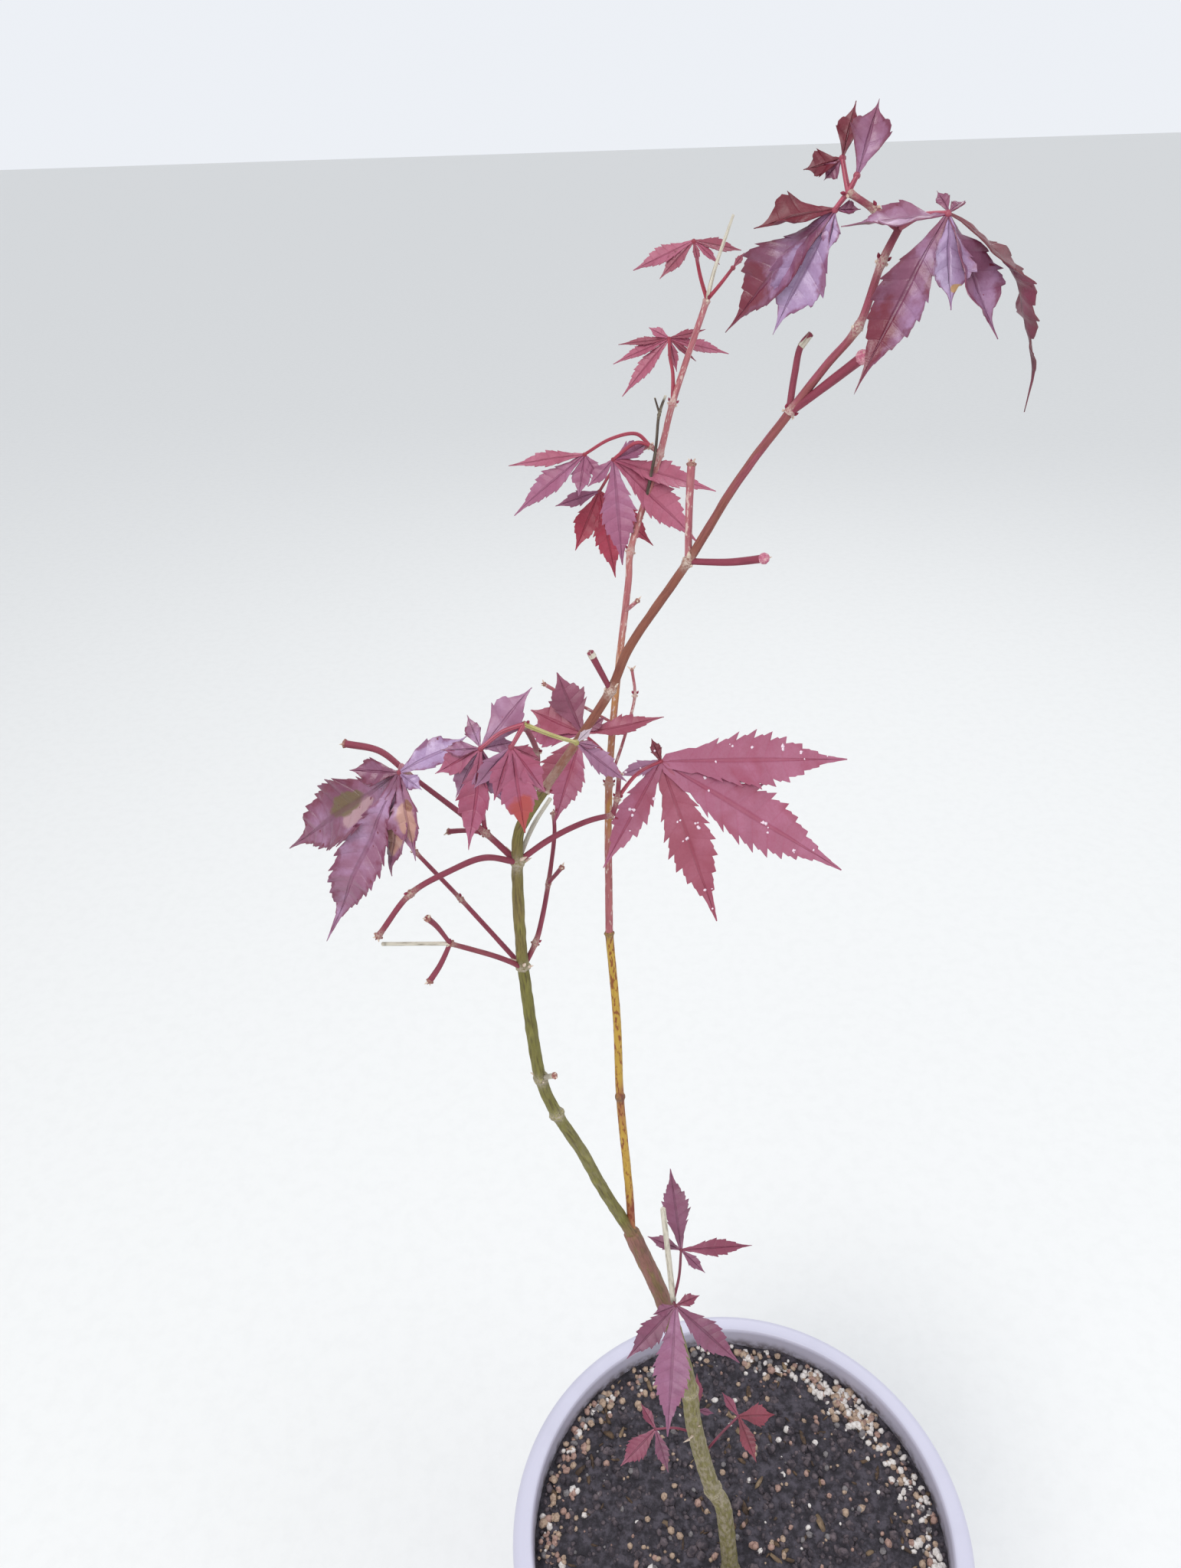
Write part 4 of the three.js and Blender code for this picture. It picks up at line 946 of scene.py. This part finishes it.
# Leaf colours: (blade, veins, painted sheen, strength of the painted sheen, edge, spots)
LEAF_TINTS = {
    "rose": ("9a506b", "8c2440", "b06d8a", 0.4),
    "rose_warm": ("944558", "82203a", "ad687f", 0.4),
    "rose_deep": ("7a3a52", "5e1e36", "98586e", 0.4),
    "rose_pale": ("946380", "7f4462", "b692b0", 0.6),
    "rose_tipped": ("9a506b", "8c2440", "b06d8a", 0.4, None, (("a03c34", 0, 0.9, 1.3, 0.36),)),
    "mauve": ("824862", "622842", "ac83a8", 0.6, "681c36"),
    "mauve_pale": ("8e5c76", "703a56", "b896bc", 0.65, "722a46"),
    "mauve_tipped": ("7d4660", "602842", "ae8cb4", 0.7, "661c34", (("6c162a", -0.4, 1.0, 1.3, 0.5),)),
    # The next two tints are a pale purple that paints the sheen of reflected sky over mauve lobes
    "lilac_folded": ("a688ae", "80587c", "c8b8d4", 0.8, "7a3a58", (("b8925c", 0.55, 0.78, 0.55, 0.05),)),
    "lilac": ("a688ae", "80587c", "c2aed0", 0.6, "7a3a58"),
    "mauve_spotted": ("95627c", "743e58", "ba9aba", 0.6, "722a46",
                      (("b88c7c", 0.1, 0.55, 0.7, 0.24), ("80523c", 0.3, 0.36, 0.35, 0.08))),
    "withered": ("7d455e", "5c2840", "ac87aa", 0.6, "681c36",
                 (("a8848a", 0.3, 0.36, 0.4, 0.12), ("62502e", -0.12, 0.42, 0.34, 0.13))),
    "pale": ("b3a3ac", "947a8c", "c6bcc6", 0.5),
    "maroon": ("6c1427", "42101d", "8c3a50", 0.35),
    "brown": ("71353d", "552028", "8f5a64", 0.4, "601c26"),
    "red": ("a4546b", "7c2640", "b26a84", 0.4),
    "red_pale": ("985674", "743656", "ab7a9c", 0.5),
    "red_dark": ("8e4052", "5e1c2e", "9c5068", 0.35),
    "scarlet": ("9f2d45", "70182c", "ae4a60", 0.35),
    "wine": ("783e58", "55253c", "8d5a76", 0.45),
    "wine_pale": ("8c5472", "65304e", "a07090", 0.5),
    "wine_red": ("7c324a", "581e34", "925068", 0.4),
    "crimson": ("7a2838", "521624", "904456", 0.35),
    "rose_under": ("8f4560", "6e2a44", "a8708c", 0.5),
    "mauve_under": ("6f2238", "4b1424", "8f4c68", 0.45),
    "red_under": ("93344c", "6c1e30", "a85c74", 0.4),
    "wine_under": ("6d2f49", "4c1d30", "83506a", 0.4),
    "stalk_red": ("9e2c42", "701a2c", "b8556a", 0.4),
    "stalk_pink": ("a8485c", "7c2a3c", "bd7486", 0.4),
    "stalk_wine": ("7c2c44", "54182c", "935064", 0.4),
    "stalk_green": ("a9a060", "857a3e", "c4b690", 0.5),
}
# The finishes of leaves, and the colour of their undersides
UNDER = {f"{kind}_leaf": f"{kind}_under" for kind in ("rose", "mauve", "red", "wine")}
# Bark colours: (plain, fibres, a painted highlight on the ridges, second colour, scales), and what else the
# bark needs
BARK_TINTS = {
    "olive_bark": (("716c32", "43361f", "a09a50", "8f6258", "a69a8b"), dict(fibres=0.85)),
    "brown_bark": (("84503f", "5c2d2c", "a8775f", "9a4c5e", "c4b2a6"), dict(fibres=0.5)),
    "yellow_bark": (("b9963c", "8a6a2c", "ccb062", "96543f", "5d4a44"),
                    dict(specks=("7a3420", 0.69, 0.77), roughness=0.5, fibres=0.4)),
    "pink_bark": (("a9626a", "84404a", "d0aca8", "ba8c42", "b59a92"),
                  dict(specks=("ccb2aa", 0.74, 0.82), roughness=0.5, fibres=0.75)),
    "maroon_twig": (("843648", "5c2231", "aa5a68", "9c5f52", "b09a8c"), dict(roughness=0.5, fibres=0.45)),
    "dead_wood": (("cfc8b8", "7f7464", "e8e3d4", "3a2d29", "8a8070"), dict(roughness=0.8, fibres=0.8)),
}
# Speckled colours: (plain, patches, size of the patches, roughness, depth of the relief, ramp of the patches)
SPECKLED_TINTS = {
    "scar": ("e3d5c3", "c9a495", 0.0008, 0.75),
    "scar_collar": ("8e5a54", "b98f82", 0.0009, 0.7),
    "bud": ("94304a", "6d1f30", 0.001, 0.5),
    "bud_pink": ("b4607a", "d8a4ac", 0.0012, 0.5),
    "soil": ("2d2a2f", "504b53", 0.006, 0.95, 0.0012, 0.36, 0.7),
    "crumb": ("39343a", "675c60", 0.006, 0.95, 0.0006),
    "chip_dark": ("44372f", "66523f", 0.005, 0.9),
    "chip_pale": ("6d5b49", "8d7860", 0.005, 0.85),
    "grain_white": ("dcd6d2", "b9afa9", 0.002, 0.85),
    "grain_beige": ("b39c88", "8c7566", 0.002, 0.85),
    "grain_pink": ("ab8c80", "856860", 0.002, 0.85),
    "grain_grey": ("807b7c", "5f5a5c", 0.002, 0.85),
}

MATERIALS = {
    "plastic": plastic_look("plastic", "c2c0d0", "b0adbd"),
    # The inside of the wall is the same plastic in darker colours, a painted shade, with a real tide of soil
    # on it
    "plastic_inside": plastic_look("plastic_inside", "b5b1c1", "a19dab", stain="4a3d38"),
    # Droplets take a pale colour, a painted reflection of the sky on water
    "droplet": Look("droplet", 0.25, Specular_IOR_Level=0.6).finish("ecd6e2"),
}
MATERIALS.update({name: leaf_look(name, *tint) for name, tint in LEAF_TINTS.items()})
MATERIALS.update({name: bark_look(name, *tints, **more) for name, (tints, more) in BARK_TINTS.items()})
MATERIALS.update({name: speckled_look(name, *parts) for name, parts in SPECKLED_TINTS.items()})

rng = np.random.default_rng(7)
ball, ball_faces = ball_mesh(1)
fine_ball, fine_ball_faces = ball_mesh(3)
barks = {finish: Shape() for finish in BARKS}
blades = {finish: Shape() for finish in UNDER}
stems = {finish: Shape() for finish in UNDER}
scars, droplets = Shape(), Shape()
places_of = {}


def add_bark(kind, places, radius, **more):
    tube(barks[kind], places, radius, kind, **BARKS[kind], **more)


def grow_limb(number, name, finish, steps, radius, grows=None, rings=(), stubs=()):
    """A limb of the table, with the scars on its rings, the slivers on it, its end and its stubs."""
    places = walk(place_on(places_of[grows[0]], grows[1]) if grows else TRUNK_START, steps)
    places_of[name] = places
    tones = TONES.get(name, PLAIN_TONES)
    flare = FLARE if name == "trunk" else 0
    add_bark(finish, places, radius, rings=rings, flare=flare, tones=tones, seed=number)
    for index in rings if finish in SCARRED else ():
        before, after = places[max(index - 1, 0)], places[min(index + 1, len(places) - 1)]
        girth = radius[0] + (radius[1] - radius[0]) * index / (len(places) - 1)
        ring_scars(scars, places[index], unit(after - before), girth, rng, SCARRED[finish])
    if name in FORKED_ENDS:
        fork_tip(scars, places[-1], places[-1] - places[-2], radius[1], rng)
    for at, lean, heading, length in SLIVERS.get(name, ()):
        along = direction(lean, heading)
        spindle(scars, place_on(places, at), along, length, SLIVER_RADIUS, "scar", bulge=0.5, sides=8)
    for index, (at, stub_steps, stub_radius) in enumerate(stubs):
        stub = walk(place_on(places, at), stub_steps)
        grow_stub((name, index), finish, stub, stub_radius, tones, STUB_SEED + 3 * number + index)


def grow_stub(key, finish, places, radius, tones, seed):
    """A stub on a limb of a finish, with a dried, forked or swollen end."""
    kind = "pink_bark" if key in PALE_STUBS else STUB_FINISH.get(finish, finish)
    if finish != "dead_wood":
        tones = DEAD_STUB_TONES if kind == "dead_wood" else PLAIN_TONES
    dry = DRY_ENDS.get(key)
    last = places[-1] - places[-2]
    if dry:
        end, sizes = [places[-1] - unit(last) * dry, places[-1]], (radius[1] + DRY_SWELL, radius[1])
        add_bark("dead_wood", end, sizes, seed=DRY_SEED + key[1])
    add_bark(kind, places, radius, tones=tones, seed=seed)
    if finish != "dead_wood" and not dry:
        fork_tip(scars, places[-1], last, radius[1], rng, scale=0.7 + 0.25 * radius[1])
    if key in BUD_ENDS:
        swollen = lump(fine_ball, places[-1], np.full(3, BUD_SWELL * radius[1]), np.eye(3), rng, 0.06)
        scars.add(swollen, fine_ball_faces, "bud_pink")


def grow_mass(number, name, finish, grows, stalks, leaves, shoot=()):
    """A mass of the table, on its shoot where it has one."""
    places = walk(place_on(places_of[grows[0]], grows[1]), shoot)
    rings = range(1, len(places))
    if rings:
        add_bark("maroon_twig", places, SHOOT_RADIUS, rings=rings, seed=SHOOT_SEED + number)
    for index in rings:
        along = unit(places[index] - places[index - 1])
        ring_scars(scars, places[index], along, np.mean(SHOOT_RADIUS), rng, "scar")
    for leaf in leaves:
        grow_leaf(finish, places, STALK_SEED + number, **{"stalks": stalks, **leaf})


def grow_leaf(finish, shoot, seed, stalk, stalks, faces, look, lobes, start=-1, spots=0):
    """A leaf on its stalk: a knot at the hub, its lobes, and the droplets on them, painted pale as glints of
    sky.
    """
    places = walk(shoot[start], stalk)
    tube(stems[finish], places, STALK_RADIUS, stalks, **STALK, seed=seed)
    hub, axes = places[-1], leaf_axes(*faces)
    foot = hub - axes[2] * KNOT_DEPTH
    spindle(blades[finish], foot, axes[2], KNOT_LENGTH, KNOT_RADIUS, stalks, bulge=0.5, sides=10)
    total = sum(lobe[1] for lobe in lobes)
    for lobe in lobes:
        top = blade(blades[finish], hub, axes, lobe, HABITS[look], UNDER[finish], rng)
        sprinkle(droplets, top, round(spots * lobe[1] / total), rng)


def sprinkle(shape, top, count, rng):
    """Droplets on a blade, in ones and in small groups, whose pale colour is a painted reflection of the sky.
    """
    rows, columns = top.shape[:2]
    while count > 0:
        row, column = rng.integers(4, rows - 4), rng.integers(1, columns - 1)
        for _ in range(min(count, rng.choice((1, 1, 2, 4)))):
            down, over = rng.random(2)
            corner = top[row:row + 2, column:column + 2]
            at = corner[0] * (1 - down) + corner[1] * down
            at = at[0] * (1 - over) + at[-1] * over
            normal = unit(np.cross(corner[1, 0] - corner[0, 0], corner[0, -1] - corner[0, 0]))
            turn = np.array(Vector(normal).to_track_quat("Z", "Y").to_matrix())
            size = rng.uniform(0.4, 1.05)
            sizes = (size, size * rng.uniform(0.7, 1.2), DROPLET_THICKNESS)
            shape.add(lump(ball, at, sizes, turn, rng, 0.3), ball_faces, "droplet")
            count -= 1


def soil_height(points, lumps=SOIL_LUMPS):
    height = SOIL_LEVEL - SOIL_DROP
    for high, size, seed in lumps:
        height = height + high * noises(points, size, seed)
    return height


def soil_piece():
    """The soil: a lumpy top that sinks at the wall, and a closed body down to the floor of the planter."""
    rows = [circle(FOOT_RADIUS - WALL - SOIL_FOOT_GAP, FLOOR + SOIL_FLOOR_GAP, SOIL_SIDES),
            circle(SOIL_RADIUS - SOIL_EDGE_TAPER, SOIL_LEVEL - SOIL_EDGE_DEPTH, SOIL_SIDES)]
    for share in np.arange(SOIL_RINGS, 0, -1) / SOIL_RINGS:
        row = circle(SOIL_RADIUS * share, 0, SOIL_SIDES)
        edge = max(0, share - SINK_FROM) / (1 - SINK_FROM)
        sink = SOIL_SINK * edge * (0.5 + 0.5 * noises(row, 30, 5))
        row[:, 2] = soil_height(row, [*SOIL_LUMPS, FINE_LUMPS]) - sink
        rows.append(row)
    last = (len(rows) - 1) * SOIL_SIDES
    fan = [(last + side, last + (side + 1) % SOIL_SIDES, last + SOIL_SIDES) for side in range(SOIL_SIDES)]
    faces = [*grid(len(rows), SOIL_SIDES, closed=True), *fan, range(SOIL_SIDES)[::-1]]
    shape = Shape()
    shape.add([*np.concatenate(rows), (0, 0, SOIL_LEVEL - SOIL_DROP)], faces, "soil")
    shape.build("soil_bed", "soil", ["soil"], sharp=80)


def on_soil(x, y):
    return np.array([x, y, soil_height([(x, y, 0)])[0]])


def spread(count, least, greatest, rng):
    """Places all over the soil, clear of the trunk, each with a size."""
    for _ in range(count):
        heading, radius = rng.uniform(0, 2 * math.pi), (SOIL_RADIUS - BITS_MARGIN) * math.sqrt(rng.random())
        x, y = radius * math.cos(heading), radius * math.sin(heading)
        if math.hypot(x - TRUNK_START[0], y - TRUNK_START[1]) > TRUNK_CLEARANCE:
            yield on_soil(x, y), least + (greatest - least) * rng.random() ** BITS_SMALLNESS


def drifts(count, rng):
    """Places in small drifts along the rim, thickest at its right and its back left: (place, size)."""
    for _ in range(count):
        headings = [rng.normal(*way) for way in DRIFT_HEADINGS]
        heading = rng.choice([*headings, rng.uniform(0, 2 * math.pi)])
        radius = SOIL_RADIUS - DRIFT_MARGIN - abs(rng.normal(0, DRIFT_DEPTH))
        middle = radius * np.array([math.cos(heading), math.sin(heading)])
        for _ in range(rng.integers(*DRIFT_COUNTS)):
            x, y = middle + rng.normal(0, DRIFT_WIDTH, 2)
            if math.hypot(x, y) < SOIL_RADIUS - GRAIN_MARGIN:
                yield on_soil(x, y), rng.uniform(*DRIFT_SIZES)


def soil_bits():
    """Crumbs and bark chips all over the soil, and grains in drifts and between them."""
    crumbs, chips, grains = Shape(), Shape(), Shape()
    rng = np.random.default_rng(11)
    for at, size in [*spread(*CRUMBS, rng), *spread(*CLODS, rng)]:
        turn = random_turn(rng)
        crumbs.add(lump(ball, at, size * rng.uniform(0.6, 1.1, 3), turn, rng, 0.3), ball_faces, "crumb")
    for at, size in spread(*CHIPS, rng):
        lie = Matrix.Rotation(rng.uniform(0, 2 * math.pi), 3, "Z")
        lie = np.array(lie @ Matrix.Rotation(rng.normal(0, 0.3), 3, "Y"))
        sizes = (size, size * rng.uniform(0.2, 0.4), rng.uniform(0.5, 1.3))
        tint = "chip_pale" if rng.random() < 0.3 else "chip_dark"
        chips.add(lump(ball, at + (0, 0, 0.6), sizes, lie, rng, 0.2), ball_faces, tint)
    for places, odds in ((drifts(DRIFTS, rng), GRAIN_ODDS_DRIFT), (spread(*LOOSE_GRAINS, rng), GRAIN_ODDS)):
        for at, size in places:
            odds_here = odds if at[0] > GRAINS_DULL_BELOW else GRAIN_ODDS_LEFT
            sizes = size * rng.uniform(0.7, 1.15, 3)
            body = lump(ball, at + (0, 0, 0.25 * size), sizes, random_turn(rng), rng, 0.16)
            grains.add(body, ball_faces, rng.choice(GRAIN_KINDS, p=odds_here))
    crumbs.build("soil_crumbs", "soil")
    chips.build("bark_chips", "soil")
    grains.build("white_grains", "soil")


def planter_wall(share, inset=0):
    """The (radius, height) of the planter's wall at a share of the way up from its foot to its rim."""
    radius = FOOT_RADIUS + (SHOULDER_RADIUS - FOOT_RADIUS) * share + BELLY * math.sin(math.pi * share)
    return radius - inset, EDGE + (PLANTER_HEIGHT - RIM_DEPTH - EDGE) * share


def planter_piece():
    """The planter: a smooth turned wall with a rounded lip, a rim band and drain holes."""
    band = PLANTER_HEIGHT - RIM_DEPTH
    shares = np.linspace(0.02, 0.985, WALL_STATIONS)
    outer = [(0.01, 0), *((FOOT_RADIUS - flat, 0) for flat in FOOT_FLAT)]
    outer += arc((FOOT_RADIUS - EDGE, EDGE), EDGE, -90, -5) + [planter_wall(share) for share in shares]
    outer += [(SHOULDER_RADIUS + 0.6, band - 0.9), (SHOULDER_RADIUS + 1.6, band)]
    outer += arc((RIM_RADIUS - EDGE, band + EDGE), EDGE, -90, 0)
    for up, depth in enumerate((0, RIM_LINE, RIM_LINE, 0)):
        outer.append((RIM_RADIUS - depth, band + RIM_LINE_AT + up))
    outer += arc((RIM_RADIUS - RIM_ROUND, PLANTER_HEIGHT - RIM_ROUND), RIM_ROUND, 0, 90, 10)
    lip = (RIM_INNER_RADIUS + RIM_INNER_ROUND, PLANTER_HEIGHT - RIM_INNER_ROUND)
    inner = arc(lip, RIM_INNER_ROUND, 90, 180, 8)
    inner += [(RIM_INNER_RADIUS - narrower, PLANTER_HEIGHT - depth) for depth, narrower in RIM_TAPER]
    inner += [(planter_wall(share, WALL)[0], max(FLOOR, planter_wall(share)[1])) for share in shares[::-1]]
    shape = Shape()
    lathe(shape, [*outer, *inner, (0.01, FLOOR)], "plastic")
    inside = (len(outer) + 3) * PLANTER_SIDES
    # Faces inside the planter take the darker copy of its plastic, a painted shade
    shape.tints = ["plastic_inside" if min(face) >= inside else "plastic" for face in shape.faces]
    piece = shape.build("planter_shell", "planter", ["planter"], sharp=35)

    cutter = Shape()
    for angle in np.arange(DRAIN_COUNT) * 2 * math.pi / DRAIN_COUNT:
        centre = (DRAIN_RING_RADIUS * math.cos(angle), DRAIN_RING_RADIUS * math.sin(angle))
        lathe(cutter, ((DRAIN_RADIUS, -4), (DRAIN_RADIUS, FLOOR + 4)), "plastic", DRAIN_SIDES, centre)
    mesh = bpy.data.meshes.new("drain_cutter")
    mesh.from_pydata(np.concatenate(cutter.points) * MM, [], cutter.faces)
    cutting = put_in_scene("drain_cutter", mesh)
    drains = piece.modifiers.new("drains", "BOOLEAN")
    drains.object, drains.operation, drains.solver = cutting, "DIFFERENCE", "EXACT"
    bpy.context.view_layer.update()
    made = bpy.data.meshes.new_from_object(piece.evaluated_get(bpy.context.evaluated_depsgraph_get()))
    piece.modifiers.clear()
    piece.data = made
    bpy.data.objects.remove(cutting)


def area_light(name, place, height, size, power, tone=(1, 1, 1)):
    """A soft lamp at a place, turned to a height over the middle of the floor."""
    light = bpy.data.lights.new(name, "AREA")
    light.energy, light.size, light.color = power, size, tone
    lamp = put_in_scene(name, light)
    lamp.location = place
    lamp.rotation_mode = "QUATERNION"
    lamp.rotation_quaternion = (Vector((0, 0, height)) - Vector(place)).to_track_quat("-Z", "Y")


def studio():
    """A pale floor, soft light and the camera."""
    mesh = bpy.data.meshes.new("floor")
    corners = [(x * FLOOR_SIZE, y * FLOOR_SIZE, 0) for x, y in ((-1, -1), (1, -1), (1, 1), (-1, 1))]
    mesh.from_pydata(corners, [], [range(4)])
    mesh.materials.append(speckled_look("floor", "e4e4e2", "e2e2e0", 0.02, 0.85, 0.0002))
    stage = put_in_scene("floor", mesh)
    world = bpy.data.worlds.new("studio")
    world.use_nodes = True
    sky = world.node_tree.nodes["Background"].inputs
    sky["Color"].default_value, sky["Strength"].default_value = (0.92, 0.95, 1, 1), 0.92
    bpy.context.scene.world = world
    area_light("key", (-1.3, -1.9, 2.9), 0.7, 1.6, 44, (1, 0.98, 0.95))
    area_light("fill", (2.3, -1, 1.8), 0.8, 1.8, 14, (0.95, 0.97, 1))
    area_light("back", (0.6, 2.4, 2.6), 0.8, 1.6, 18)
    bpy.context.scene.view_settings.view_transform = "Standard"
    camera = bpy.data.cameras.new("camera")
    camera.lens, camera.sensor_width = CAMERA_LENS, CAMERA_SENSOR
    camera.clip_start, camera.clip_end = 0.01, 100
    holder = put_in_scene("camera", camera)
    tilt = Matrix.Rotation(math.radians(90 - CAMERA_PITCH), 4, "X")
    roll = Matrix.Rotation(math.radians(CAMERA_ROLL), 4, "Z")
    holder.matrix_world = Matrix.Translation(Vector(CAMERA_PLACE) * MM) @ tilt @ roll
    bpy.context.scene.camera = holder


for number, limb in enumerate(LIMBS):
    grow_limb(number, **limb)
for number, mass in enumerate(MASSES):
    grow_mass(number, **mass)

for finish, shape in barks.items():
    nodes = [one["name"] for one in LIMBS if one["finish"] == finish]
    shape.build(f"{finish}_limbs", finish, nodes, sharp=70)
scars.build("bud_scars", "maroon_twig", sharp=45)
for finish in UNDER:
    nodes = [one["name"] for one in MASSES if one["finish"] == finish]
    blades[finish].build(f"{finish}_blades", finish, nodes, sharp=50)
    stems[finish].build(f"{finish}_stalks", finish, nodes, sharp=70)
droplets.build("leaf_droplets_painted_glint", "rose_leaf")
soil_piece()
soil_bits()
planter_piece()
studio()
